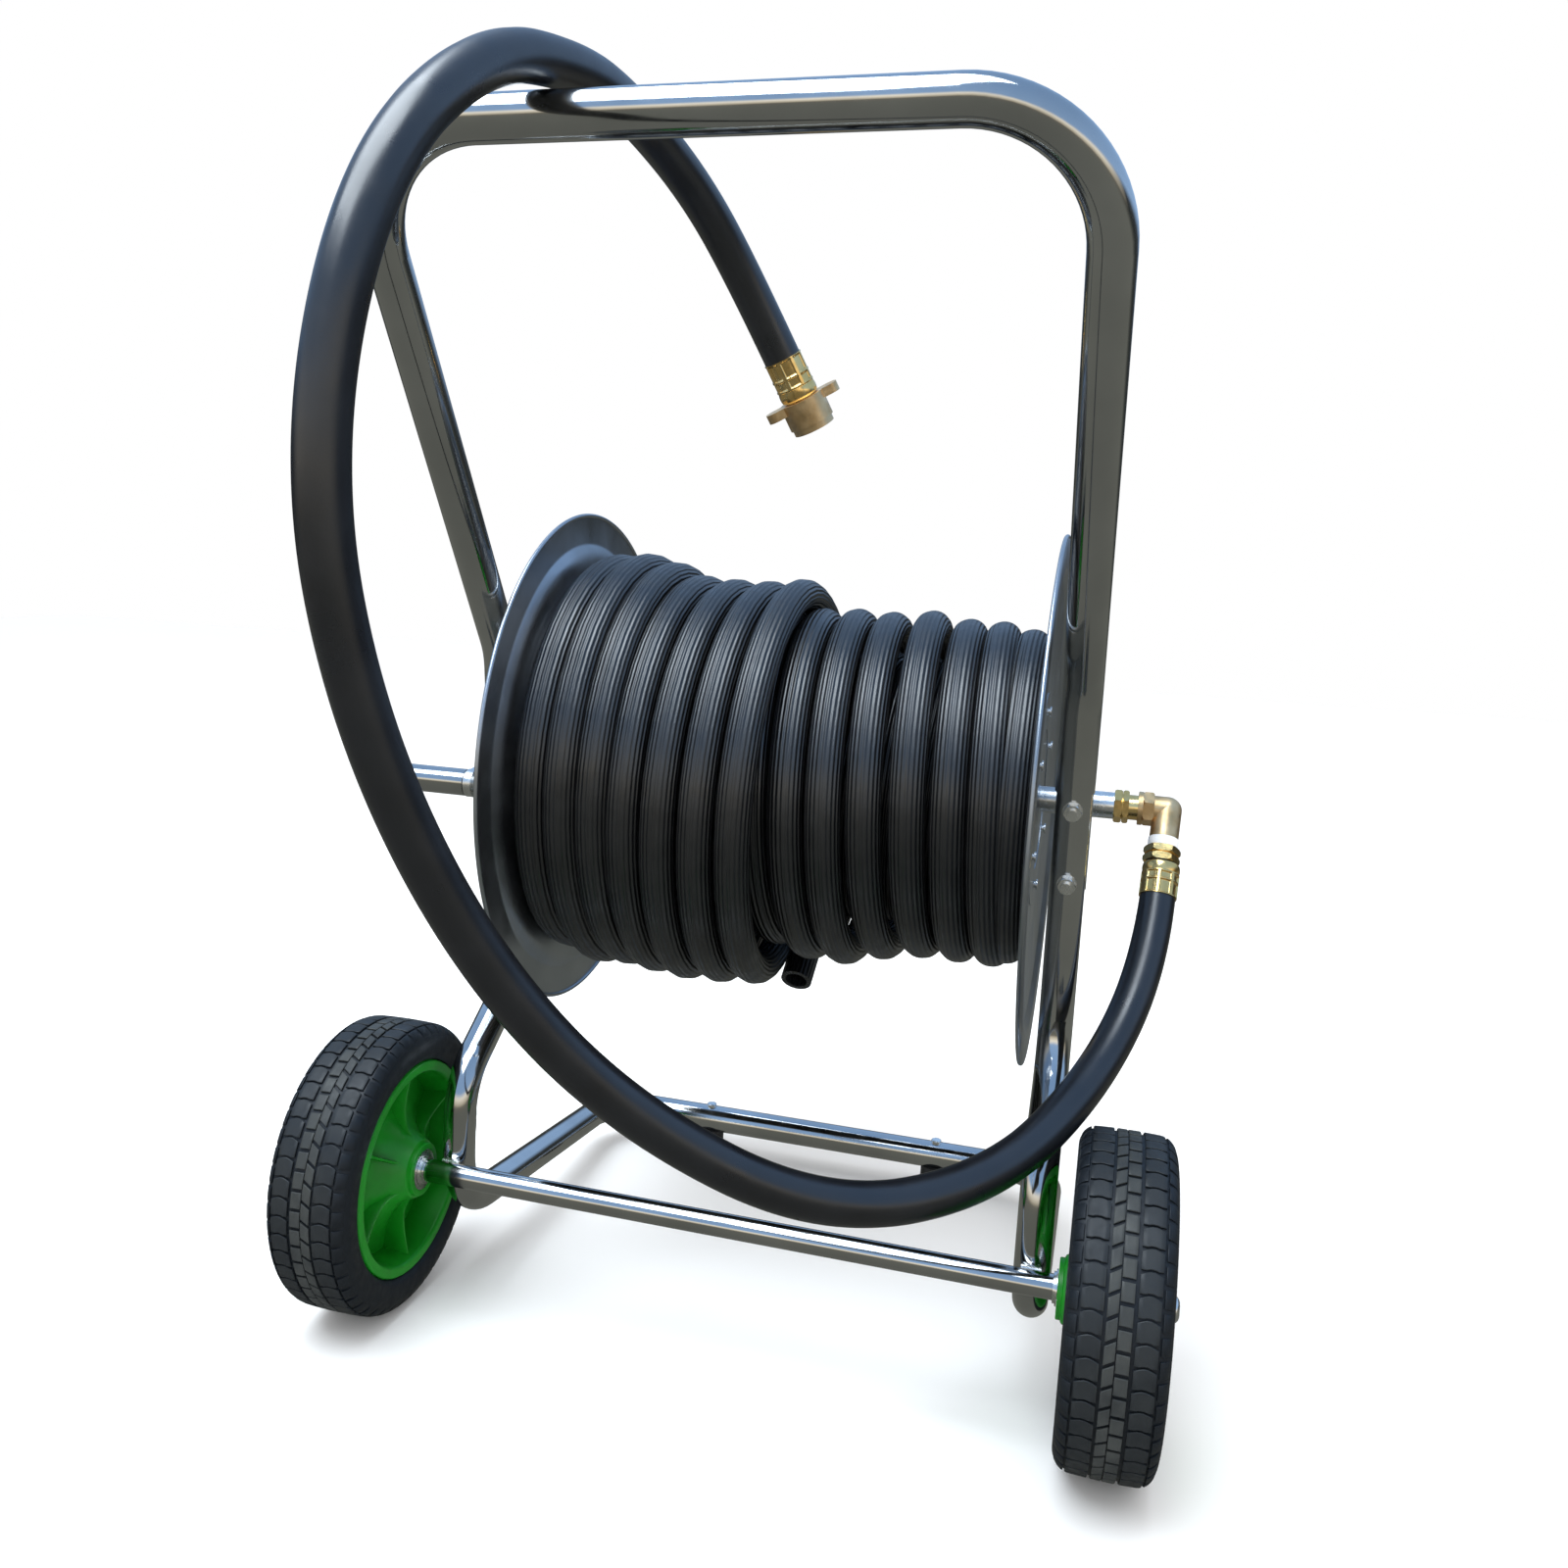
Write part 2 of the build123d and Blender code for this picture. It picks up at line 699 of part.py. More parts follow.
with BuildPart() as grip_cap:
    add(ring(GRIP, grip_tube_end, grip_end_x + 1.5, grip_radius))
    add(ring(GRIP, grip_end_x + 1.5, grip_end_x, grip_radius - 1.5))
    add(ring(GRIP, grip_tube_end + 3.5, grip_tube_end, grip_radius - grip_wall))
keep(grip_cap, "grip_cap")

# ---------------------------------------------------------------- water inlet
swivel_start = pipe_right - 2.5
swivel_flats = 26.0
swivel_nut_length = 7.0
spigot_radius = pipe_radius - pipe_wall - running_gap
with BuildPart() as swivel_nut:
    face = Plane(origin=(swivel_start, drum_y, drum_z), z_dir=(1, 0, 0))
    add(hexagon(face, swivel_nut_length, swivel_flats, pipe_radius))
keep(swivel_nut, "swivel_nut")

# the fixed side of the swivel: spigot inside the pipe, hexagon, then a waist
fixed_start = swivel_start + swivel_nut_length + body_gap
fixed_hex_end = fixed_start + 5.5
waist_end = fixed_hex_end + 8.0
waist_radius = 11.2
water_bore = 7.5
with BuildPart() as swivel_body:
    face = Plane(origin=(fixed_start, drum_y, drum_z), z_dir=(1, 0, 0))
    add(hexagon(face, fixed_hex_end - fixed_start, swivel_flats))
    add(ring(DRUM, pipe_right - 22, fixed_start, spigot_radius))
    add(ring(DRUM, pipe_right + body_gap, fixed_start, pipe_radius - 0.4))
    add(ring(DRUM, fixed_hex_end, waist_end, waist_radius))
    add(ring(DRUM, pipe_right - 22, waist_end, water_bore), mode=Mode.SUBTRACT)
keep(swivel_body, "swivel_body")

# cast elbow: collar, hexagon, tight round corner and a leg that leans back and down
lean = radians(inlet_lean)
inlet_down = Vector(-0.05, -sin(lean), -cos(lean)).normalized()
elbow_centre = Vector(elbow_x, drum_y, drum_z)
collar_end = waist_end + 4.1
collar_radius = 15.0
hex_end = collar_end + 9.4
elbow_flats = 26.5
leg_end = 28.0


def inlet_plane(distance):
    """Plane across the inlet's down leg, at a distance from the elbow's centre."""
    return Plane(origin=elbow_centre + inlet_down * distance, x_dir=(1, 0, 0), z_dir=inlet_down)


with BuildPart() as brass_elbow:
    add(ring(DRUM, waist_end, collar_end, collar_radius))
    face = Plane(origin=(collar_end, drum_y, drum_z), z_dir=(1, 0, 0))
    add(hexagon(face, hex_end - collar_end, elbow_flats))
    add(ring(DRUM, hex_end - 2, elbow_x, elbow_radius))
    with Locations(elbow_centre):
        Sphere(elbow_radius)
    add(across(inlet_plane(0), leg_end, elbow_radius))
keep(brass_elbow, "brass_elbow")


tape_end = 36.5
nipple_hex = 6.3
nipple_flats = 27.5
nipple_groove = 1.4
groove_radius = 12.4
nipple_end = tape_end + 2 * nipple_hex + nipple_groove
seal_end = nipple_end + 1.8
ferrule_end = 82.0
inlet_ferrule_radius = 15.9
end_ferrule_radius = 16.8

with BuildPart() as thread_tape:
    add(across(inlet_plane(leg_end), tape_end - leg_end, elbow_radius + 0.6))
keep(thread_tape, "thread_tape")

with BuildPart() as hose_nipple:
    add(hexagon(inlet_plane(tape_end), nipple_hex, nipple_flats))
    add(across(inlet_plane(tape_end + nipple_hex), nipple_groove, groove_radius))
    add(hexagon(inlet_plane(nipple_end - nipple_hex), nipple_hex, nipple_flats))
keep(hose_nipple, "hose_nipple")

with BuildPart() as inlet_seal:
    add(across(inlet_plane(nipple_end), seal_end - nipple_end, 12.5))
keep(inlet_seal, "inlet_seal")


def ferrule(plane, length, radius, waves=8):
    """Crimped hose ferrule: a plain sleeve with three raised rings and raised bars between them."""
    sleeve = radius - 1.2
    ring_height = 3.0
    with BuildPart() as piece:
        add(across(plane, length, sleeve))
        for start in (length * 0.22, length * 0.55, length - ring_height):
            add(across(plane.offset(start), ring_height, radius))
        with BuildSketch(plane.offset(length * 0.22)):
            with PolarLocations(sleeve - 0.3, waves):
                Rectangle(2.6, 3.6)
        extrude(amount=length * 0.78 - ring_height / 2)
    return piece


keep(ferrule(inlet_plane(seal_end), ferrule_end - seal_end, inlet_ferrule_radius), "inlet_ferrule")

# ---------------------------------------------------------------- leader hose
# straight runs and tangent arcs through these points, from the inlet ferrule over the handle
ferrule_face = elbow_centre + inlet_down * ferrule_end
first_turn = ferrule_face + inlet_down * 68
leader_route = [
    (ferrule_face.X, ferrule_face.Y, ferrule_face.Z),
    (first_turn.X, first_turn.Y, first_turn.Z),
    (287.0, -79.0, 272.0),
    (222.0, -209.0, 235.0),
    (116.0, -304.0, 237.0),
    (-4.0, -381.0, 321.0),
    (-81.0, -442.0, 432.0),
    (-128.0, -497.0, 575.0),
    (-144.0, -524.0, 723.0),
    (-126.0, -500.0, 877.0),
    (-117.0, -384.0, 976.0),
    (-103.0, -268.0, 1003.0),
    (-101.0, -167.0, 1004.0),
    (-77.0, -83.0, 969.0),
    (-50.0, -25.0, 911.0),
    (-21.0, -1.0, 851.0),
]


def corner_radii(points):
    """0.45 of the shorter run at each corner, over the tangent of half its turn."""
    radii = []
    for before, here, after in zip(points, points[1:], points[2:]):
        first = Vector(*here) - Vector(*before)
        second = Vector(*after) - Vector(*here)
        half_turn = radians(first.get_angle(second)) / 2
        radii.append(0.45 * min(first.length, second.length) / tan(half_turn))
    return radii


leader_radii = corner_radii(leader_route)
with BuildLine() as leader_path:
    FilletPolyline(*leader_route, radius=leader_radii)
with BuildPart() as leader_hose:
    add(piped(leader_path.wire(), leader_od / 2))
keep(leader_hose, "leader_hose")
print("leader radii", [round(r) for r in leader_radii])
leader_length = leader_path.wire().length
leader_section = pi * (leader_od / 2) ** 2
print("leader length", round(leader_length))
print("leader volume", round(leader_hose.part.volume), "section x length", round(leader_section * leader_length))

# ---------------------------------------------------------------- coupling on the leader's free end
end_point = Vector(*leader_route[-1])
end_direction = unit(leader_route[-2], leader_route[-1])


def end_plane(distance):
    """Plane across the free end's axis, at a distance past the end of the hose."""
    return Plane(origin=end_point + end_direction * distance, z_dir=end_direction)


end_ferrule_length = 36.0
shoulder_end = 37.0
shoulder_radius = 14.0
neck_radius = 12.3
nut_face = shoulder_end + body_gap
nut_floor = nut_face + 5.0
flange_start = nut_floor + 0.2
flange_end = flange_start + 2.4
seal_length = 2.4
thread_start = nut_face + 10.2
thread_radius = 15.15
undercut_radius = 15.9
body_end = nut_face + 22.6
lip_end = nut_face + 28.0

back_to_hose = Plane(origin=end_plane(end_ferrule_length).origin, z_dir=end_direction * -1)
keep(ferrule(back_to_hose, end_ferrule_length, end_ferrule_radius), "end_ferrule")

# tail of the coupling: a shoulder against the ferrule, a neck through the nut and a flange that holds it
with BuildPart() as end_tail:
    add(across(end_plane(end_ferrule_length), shoulder_end - end_ferrule_length, shoulder_radius))
    add(across(end_plane(shoulder_end), flange_start - shoulder_end, neck_radius))
    add(across(end_plane(flange_start), flange_end - flange_start, thread_radius - 0.4))
    add(across(end_plane(end_ferrule_length), flange_end - end_ferrule_length, water_bore), mode=Mode.SUBTRACT)
keep(end_tail, "end_tail")

with BuildPart() as end_seal:
    add(across(end_plane(flange_end), seal_length, thread_radius - 0.6, neck_radius))
keep(end_seal, "end_seal")

# wing nut: cast body with a narrower turned lip, a threaded mouth and two flat lugs
lug_reach = 34.0
lug_width = 15.0
lug_thickness = 8.0
lug_turn = radians(108)
level = Vector(0, 0, 1).cross(end_direction).normalized()
lug_direction = level * cos(lug_turn) + end_direction.cross(level) * sin(lug_turn)
with BuildPart() as wing_nut:
    add(across(end_plane(nut_face), body_end - nut_face, 20.0))
    add(across(end_plane(body_end), lip_end - body_end, 18.4))
    with BuildSketch(Plane(origin=end_plane(nut_face).origin, x_dir=lug_direction, z_dir=end_direction)):
        SlotOverall(2 * lug_reach, lug_width)
    extrude(amount=lug_thickness)
    add(across(end_plane(nut_face), nut_floor - nut_face, neck_radius + running_gap), mode=Mode.SUBTRACT)
    add(across(end_plane(nut_floor), thread_start - nut_floor, undercut_radius), mode=Mode.SUBTRACT)
    add(across(end_plane(thread_start), lip_end - thread_start, thread_radius), mode=Mode.SUBTRACT)
keep(wing_nut, "wing_nut")
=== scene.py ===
import bpy
import json
from math import copysign, cos, exp, pi, radians, sin, sqrt, tau
from mathutils import Matrix, Vector


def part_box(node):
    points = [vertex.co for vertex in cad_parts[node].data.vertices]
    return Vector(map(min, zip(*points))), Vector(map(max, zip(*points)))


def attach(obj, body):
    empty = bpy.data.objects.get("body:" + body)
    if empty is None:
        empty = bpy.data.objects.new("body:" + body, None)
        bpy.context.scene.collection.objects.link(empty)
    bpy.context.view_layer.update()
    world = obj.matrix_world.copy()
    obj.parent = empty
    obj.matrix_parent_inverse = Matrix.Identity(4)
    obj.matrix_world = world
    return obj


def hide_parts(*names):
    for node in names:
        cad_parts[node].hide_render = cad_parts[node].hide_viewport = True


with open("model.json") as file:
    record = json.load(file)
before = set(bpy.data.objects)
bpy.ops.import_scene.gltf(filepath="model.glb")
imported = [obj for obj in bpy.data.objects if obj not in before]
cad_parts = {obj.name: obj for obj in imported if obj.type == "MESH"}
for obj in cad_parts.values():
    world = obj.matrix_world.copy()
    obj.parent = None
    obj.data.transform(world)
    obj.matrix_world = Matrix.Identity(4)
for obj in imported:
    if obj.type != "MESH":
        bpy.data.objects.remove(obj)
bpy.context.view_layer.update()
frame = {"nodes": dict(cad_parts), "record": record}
cad_nodes = frame["nodes"]
mm = 0.001
scene = bpy.context.scene


# ---------------------------------------------------------------- places read from the frame
def middle(node):
    low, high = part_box(node)
    return (low + high) / 2


def extent(node):
    low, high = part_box(node)
    return high - low


drum = middle("drum_pipe")
drum.x = 0
axle = middle("axle_shaft")
flange_radius = extent("flange_left").z / 2
crown_radius = extent("tyre_left").z / 2
tyre_half = extent("tyre_left").x / 2
groove_depth = 2.2 * mm
hose_diameter = 30 * mm
leader_diameter = 32 * mm


# ---------------------------------------------------------------- camera
# solved from the perspective of the photograph: metres, then degrees
camera_place = (0.2814, -1.1748, 0.6845)
camera_turn = 15.62
camera_tilt = 81.85
camera_roll = 2.84
camera_lens = 31.39
camera_shift = (0.0318, -0.0231)


def make_camera():
    camera = bpy.data.objects.new("camera", bpy.data.cameras.new("camera"))
    scene.collection.objects.link(camera)
    turn = Matrix.Rotation(radians(camera_turn), 4, "Z")
    tilt = Matrix.Rotation(radians(camera_tilt), 4, "X")
    roll = Matrix.Rotation(radians(camera_roll), 4, "Z")
    camera.matrix_world = Matrix.Translation(camera_place) @ turn @ tilt @ roll
    camera.data.lens = camera_lens
    camera.data.shift_x, camera.data.shift_y = camera_shift
    scene.camera = camera


make_camera()


# ---------------------------------------------------------------- materials
class Shader:
    """A Principled material whose colour, roughness and bump can be driven by procedural nodes."""

    def __init__(self, name, colour, roughness, metallic=0.0, **sockets):
        self.material = bpy.data.materials.new(name)
        self.material.use_nodes = True
        self.tree = self.material.node_tree
        self.surface = self.tree.nodes["Principled BSDF"]
        self.surface.inputs["Base Color"].default_value = (*colour, 1)
        self.surface.inputs["Roughness"].default_value = roughness
        self.surface.inputs["Metallic"].default_value = metallic
        for label, value in sockets.items():
            self.surface.inputs[label.replace("_", " ")].default_value = value
        self.material.diffuse_color = (*colour, 1)

    def node(self, kind, **values):
        made = self.tree.nodes.new(kind)
        for label, value in values.items():
            setattr(made, label, value)
        return made

    def link(self, source, target):
        self.tree.links.new(source, target)

    def place(self, stretch=(1, 1, 1), use_uv=False):
        """Object coordinates, or the UV map, stretched."""
        coordinates = self.node("ShaderNodeTexCoord")
        mapping = self.node("ShaderNodeMapping")
        mapping.inputs["Scale"].default_value = stretch
        self.link(coordinates.outputs["UV" if use_uv else "Object"], mapping.inputs["Vector"])
        return mapping.outputs["Vector"]

    def noise(self, scale, detail=4.0, stretch=(1, 1, 1), use_uv=False):
        made = self.node("ShaderNodeTexNoise")
        made.inputs["Scale"].default_value = scale
        made.inputs["Detail"].default_value = detail
        self.link(self.place(stretch, use_uv), made.inputs["Vector"])
        return made.outputs["Fac"]

    def spread(self, value, low, high, start=0.3, end=0.7):
        """Map a 0 to 1 value onto another range."""
        made = self.node("ShaderNodeMapRange")
        made.inputs["From Min"].default_value = start
        made.inputs["From Max"].default_value = end
        made.inputs["To Min"].default_value = low
        made.inputs["To Max"].default_value = high
        self.link(value, made.inputs["Value"])
        return made.outputs["Result"]

    def calculate(self, operation, first, second=0.0):
        """One step of arithmetic on outputs or plain numbers."""
        made = self.node("ShaderNodeMath", operation=operation)
        for socket, value in zip(made.inputs, (first, second)):
            if isinstance(value, (int, float)):
                socket.default_value = value
            else:
                self.link(value, socket)
        return made.outputs["Value"]

    def blend_colour(self, factor, first, second):
        made = self.node("ShaderNodeMix", data_type="RGBA")
        made.inputs["A"].default_value = (*first, 1)
        made.inputs["B"].default_value = (*second, 1)
        self.link(factor, made.inputs["Factor"])
        self.link(made.outputs["Result"], self.surface.inputs["Base Color"])

    def mottle(self, scale, detail, first, second):
        """Base colour that wanders between two colours."""
        self.blend_colour(self.spread(self.noise(scale, detail), 0, 1), first, second)

    def vary_roughness(self, scale, detail, low, high):
        """Roughness that wanders between two values."""
        wander = self.spread(self.noise(scale, detail), low, high)
        self.link(wander, self.surface.inputs["Roughness"])

    def bump(self, height, depth, strength=1.0, below=None):
        """Bump of a height from 0 to 1, with a depth in metres, over an earlier bump."""
        made = self.node("ShaderNodeBump")
        made.inputs["Strength"].default_value = strength
        made.inputs["Distance"].default_value = depth
        self.link(height, made.inputs["Height"])
        if below:
            self.link(below, made.inputs["Normal"])
        self.link(made.outputs["Normal"], self.surface.inputs["Normal"])
        return made.outputs["Normal"]

    def grain(self, scale, detail, depth, strength, below=None):
        """Bump made by a noise."""
        self.bump(self.noise(scale, detail), depth, strength, below)


def polished_steel():
    shader = Shader("polished_steel", (0.6, 0.6, 0.59), 0.1, 1.0)
    shader.mottle(9, 5, (0.5, 0.5, 0.49), (0.66, 0.66, 0.65))
    shader.vary_roughness(60, 6, 0.06, 0.14)
    shader.grain(14, 2, 0.4 * mm, 0.25)
    return shader.material


def zinc_steel():
    """Bright zinc plate: clear reflections, with a faint crystalline mottle."""
    shader = Shader("zinc_steel", (0.84, 0.84, 0.82), 0.26, 1.0)
    shader.mottle(60, 5, (0.72, 0.72, 0.7), (0.92, 0.92, 0.9))
    shader.vary_roughness(150, 4, 0.18, 0.32)
    shader.grain(120, 2, 0.02 * mm, 0.1)
    return shader.material


def flange_steel():
    """Galvanised sheet: dull grey with a soft mottle and a fine grain."""
    shader = Shader("flange_steel", (0.44, 0.47, 0.5), 0.34, 1.0)
    shader.mottle(7, 5, (0.36, 0.39, 0.42), (0.5, 0.53, 0.57))
    shader.vary_roughness(30, 6, 0.28, 0.42)
    shader.grain(300, 3, 0.05 * mm, 0.35)
    return shader.material


def cast_brass():
    """Sand-cast brass: matt, grainy and a little tarnished."""
    shader = Shader("cast_brass", (0.78, 0.54, 0.28), 0.42, 1.0)
    shader.mottle(70, 5, (0.66, 0.43, 0.2), (0.9, 0.65, 0.36))
    shader.vary_roughness(180, 4, 0.32, 0.5)
    shader.grain(900, 3, 0.12 * mm, 0.7)
    return shader.material


def turned_brass():
    """Turned or pressed brass, bright."""
    shader = Shader("turned_brass", (0.96, 0.65, 0.25), 0.2, 1.0)
    shader.mottle(50, 5, (0.88, 0.56, 0.18), (1.0, 0.74, 0.33))
    shader.vary_roughness(160, 4, 0.14, 0.28)
    shader.grain(420, 3, 0.05 * mm, 0.5)
    return shader.material


def green_plastic():
    """Bright green moulded plastic, satin, with faint flow marks."""
    green = (0.003, 0.2, 0.007)
    shader = Shader("green_plastic", green, 0.36, Specular_IOR_Level=0.4, Subsurface_Weight=0.08)
    shader.surface.inputs["Subsurface Radius"].default_value = (0.002, 0.006, 0.002)
    shader.mottle(26, 5, (0.002, 0.165, 0.005), (0.005, 0.23, 0.01))
    shader.vary_roughness(90, 4, 0.3, 0.44)
    shader.grain(380, 3, 0.06 * mm, 0.4)
    return shader.material


def tyre_rubber():
    """Charcoal tyre rubber, worn paler on top of the blocks, most of all in the middle rows."""
    shader = Shader("tyre_rubber", (0.008, 0.011, 0.015), 0.55, Specular_IOR_Level=0.35)
    fully_worn = crown_radius - 0.9 * mm
    middle_rows_end = 9.5 * mm
    outer_rows_start = 12 * mm
    outer_wear = 0.3
    place = shader.node("ShaderNodeTexCoord")
    split = shader.node("ShaderNodeSeparateXYZ")
    shader.link(place.outputs["Object"], split.inputs["Vector"])

    def apart(axis, centre):
        """Distance along one axis from a centre."""
        gap = shader.calculate("SUBTRACT", split.outputs[axis], centre)
        return shader.calculate("ABSOLUTE", gap)

    behind = shader.calculate("POWER", apart("Y", axle.y), 2)
    above = shader.calculate("POWER", apart("Z", axle.z), 2)
    reach = shader.calculate("SQRT", shader.calculate("ADD", behind, above))
    on_top = shader.spread(reach, 0, 1, crown_radius - groove_depth, fully_worn)
    from_right = apart("X", middle("tyre_right").x)
    from_left = apart("X", middle("tyre_left").x)
    across = shader.calculate("MINIMUM", from_right, from_left)
    by_row = shader.spread(across, 1, outer_wear, middle_rows_end, outer_rows_start)
    dust = shader.spread(shader.noise(38, 6), 0.4, 1.0)
    wear = shader.calculate("MULTIPLY", shader.calculate("MULTIPLY", on_top, by_row), dust)
    shader.blend_colour(wear, (0.006, 0.009, 0.013), (0.042, 0.046, 0.044))
    shader.vary_roughness(120, 5, 0.42, 0.62)
    shader.grain(1400, 3, 0.1 * mm, 0.6)
    return shader.material


def wound_hose_rubber():
    """Black hose with fine ribs along its length, read from the tube's UV map."""
    ribs = 23
    # the wave texture turns through this many radians for each unit of its coordinate
    wave_turn = 20
    rib_depth = 0.75 * mm
    shader = Shader("wound_hose_rubber", (0.002, 0.003, 0.004), 0.32, Specular_IOR_Level=1.0)
    shader.mottle(40, 4, (0.0015, 0.002, 0.003), (0.004, 0.005, 0.006))
    shader.vary_roughness(60, 5, 0.3, 0.42)
    wave = shader.node(
        "ShaderNodeTexWave", wave_type="BANDS", bands_direction="X", wave_profile="SIN"
    )
    wave.inputs["Scale"].default_value = tau * ribs / wave_turn
    wave.inputs["Distortion"].default_value = 0.0
    coordinates = shader.node("ShaderNodeTexCoord")
    shader.link(coordinates.outputs["UV"], wave.inputs["Vector"])
    shader.grain(500, 3, 0.05 * mm, 0.3, below=shader.bump(wave.outputs["Fac"], rib_depth))
    return shader.material


def leader_rubber():
    """Smooth black rubber cover with a soft sheen."""
    shader = Shader("leader_rubber", (0.002, 0.003, 0.005), 0.3, Specular_IOR_Level=0.95)
    shader.mottle(22, 5, (0.0015, 0.002, 0.004), (0.004, 0.005, 0.008))
    shader.vary_roughness(34, 6, 0.26, 0.36)
    shader.grain(800, 4, 0.07 * mm, 0.5)
    return shader.material


def black_rubber():
    shader = Shader("black_rubber", (0.018, 0.018, 0.019), 0.55)
    shader.vary_roughness(150, 4, 0.48, 0.66)
    shader.grain(900, 3, 0.08 * mm, 0.5)
    return shader.material


def black_plastic():
    shader = Shader("black_plastic", (0.03, 0.03, 0.032), 0.4)
    shader.vary_roughness(120, 4, 0.34, 0.48)
    shader.grain(600, 3, 0.05 * mm, 0.4)
    return shader.material


def thread_tape():
    """White thread-seal tape: wrapped layers, a little uneven."""
    shader = Shader("thread_tape", (0.82, 0.84, 0.86), 0.5)
    layers = shader.noise(260, 4, stretch=(0.2, 0.2, 2.4))
    shader.blend_colour(shader.spread(layers, 0, 1), (0.72, 0.75, 0.78), (0.88, 0.89, 0.9))
    shader.bump(layers, 0.5 * mm, 0.8)
    return shader.material


look = {
    "polished_steel": polished_steel(),
    "zinc_steel": zinc_steel(),
    "flange_steel": flange_steel(),
    "cast_elbow_brass": cast_brass(),
    "turned_brass": turned_brass(),
    "green_plastic": green_plastic(),
    "tyre_rubber": tyre_rubber(),
    "hose_rubber": wound_hose_rubber(),
    "leader_rubber": leader_rubber(),
    "foot_rubber": black_rubber(),
    "bush_plastic": black_plastic(),
    "tape_white": thread_tape(),
}


def paint_cad_nodes():
    """Each CAD node that shows gets the procedural material of its slot."""
    for part in frame["record"]["subparts"]:
        node = cad_nodes[part["node"]]
        node.data.materials.clear()
        node.data.materials.append(look[part["material_slot"]])


paint_cad_nodes()


# ---------------------------------------------------------------- mesh helpers
def finish_piece(piece, body, slot):
    """Link, paint and attach a piece that was made here."""
    if piece.name not in scene.collection.objects:
        scene.collection.objects.link(piece)
    piece.data.materials.append(look[slot])
    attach(piece, body)
    return piece


def mesh_piece(name, points, faces, body, slot, crease=40):
    """A smooth-shaded mesh piece, with edges sharper than the crease angle kept sharp."""
    mesh = bpy.data.meshes.new(name)
    mesh.from_pydata([tuple(p) for p in points], [], faces)
    mesh.validate()
    mesh.shade_smooth()
    mesh.set_sharp_from_angle(angle=radians(crease))
    return finish_piece(bpy.data.objects.new(name, mesh), body, slot)


def grid_faces(rows, columns, close_rows=False, close_columns=True, start=0):
    """Quads over a grid of points that is stored row by row."""
    faces = []
    for row in range(rows if close_rows else rows - 1):
        below = (row + 1) % rows
        for column in range(columns if close_columns else columns - 1):
            beside = (column + 1) % columns
            faces.append(
                (
                    start + row * columns + column,
                    start + row * columns + beside,
                    start + below * columns + beside,
                    start + below * columns + column,
                )
            )
    return faces


def across_axes(axis):
    """Two unit vectors square to an axis and to each other."""
    axis = Vector(axis).normalized()
    level = Vector((0, 0, 1)).cross(axis)
    if level.length < 0.01:
        level = Vector((1, 0, 0))
    level.normalize()
    return level, axis.cross(level)


def spun(outline, origin, axis, steps=96, start=0):
    """Points and faces of a closed outline of (along, radius), turned about an axis."""
    axis = Vector(axis).normalized()
    level, rising = across_axes(axis)
    points = []
    for along, radius in outline:
        for step in range(steps):
            angle = tau * step / steps
            outward = level * cos(angle) + rising * sin(angle)
            points.append(origin + axis * along + outward * radius)
    return points, grid_faces(len(outline), steps, close_rows=True, start=start)


def eased(outline, radius, steps=4):
    """A closed outline with its corners rounded off, no more than its sides allow."""
    made = []
    count = len(outline)
    for index, (x, y) in enumerate(outline):
        here = Vector((x, y))
        before = Vector(outline[index - 1])
        after = Vector(outline[(index + 1) % count])
        cut = min(radius, (here - before).length * 0.45, (after - here).length * 0.45)
        first = here + (before - here).normalized() * cut
        last = here + (after - here).normalized() * cut
        for step in range(steps + 1):
            share = step / steps
            middle_weight = 2 * share * (1 - share)
            point = first * (1 - share) ** 2 + here * middle_weight + last * share**2
            made.append((point.x, point.y))
    return made


# ---------------------------------------------------------------- cords
def spline_object(name, points):
    """An open quadratic NURBS curve through its first and last control points."""
    curve = bpy.data.curves.new(name, "CURVE")
    curve.dimensions = "3D"
    spline = curve.splines.new("NURBS")
    spline.points.add(len(points) - 1)
    for target, point in zip(spline.points, points):
        target.co = (*point, 1)
    spline.order_u = 3
    spline.use_endpoint_u = True
    return bpy.data.objects.new(name, curve)


def sampled(points, resolution):
    """Points read from the NURBS curve of a list of control points."""
    line = spline_object("route", points)
    line.data.resolution_u = resolution
    mesh = bpy.data.meshes.new_from_object(line)
    read = [vertex.co.copy() for vertex in mesh.vertices]
    bpy.data.objects.remove(line)
    bpy.data.meshes.remove(mesh)
    return read


# control points of the leader's centre line, from the inlet to the free end, as in the CAD
leader_route = [
    (0.32896, 0.04227, 0.40577),
    (0.32556, 0.00628, 0.34817),
    (0.287, -0.079, 0.272),
    (0.222, -0.209, 0.235),
    (0.116, -0.304, 0.237),
    (-0.004, -0.381, 0.321),
    (-0.081, -0.442, 0.432),
    (-0.128, -0.497, 0.575),
    (-0.144, -0.524, 0.723),
    (-0.126, -0.500, 0.877),
    (-0.117, -0.384, 0.976),
    (-0.103, -0.268, 1.003),
    (-0.101, -0.167, 1.004),
    (-0.077, -0.083, 0.969),
    (-0.050, -0.025, 0.911),
    (-0.021, -0.001, 0.851),
]


def make_leader():
    crimped_in = 0.94
    leader = spline_object("leader_cover", leader_route)
    leader.data.resolution_u = 24
    leader.data.bevel_depth = leader_diameter / 2
    leader.data.bevel_resolution = 8
    leader.data.use_fill_caps = True
    leader.data.splines[0].points[0].radius = crimped_in
    finish_piece(leader, "frame", "leader_rubber")
    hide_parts("leader_hose")
    return leader


leader = make_leader()

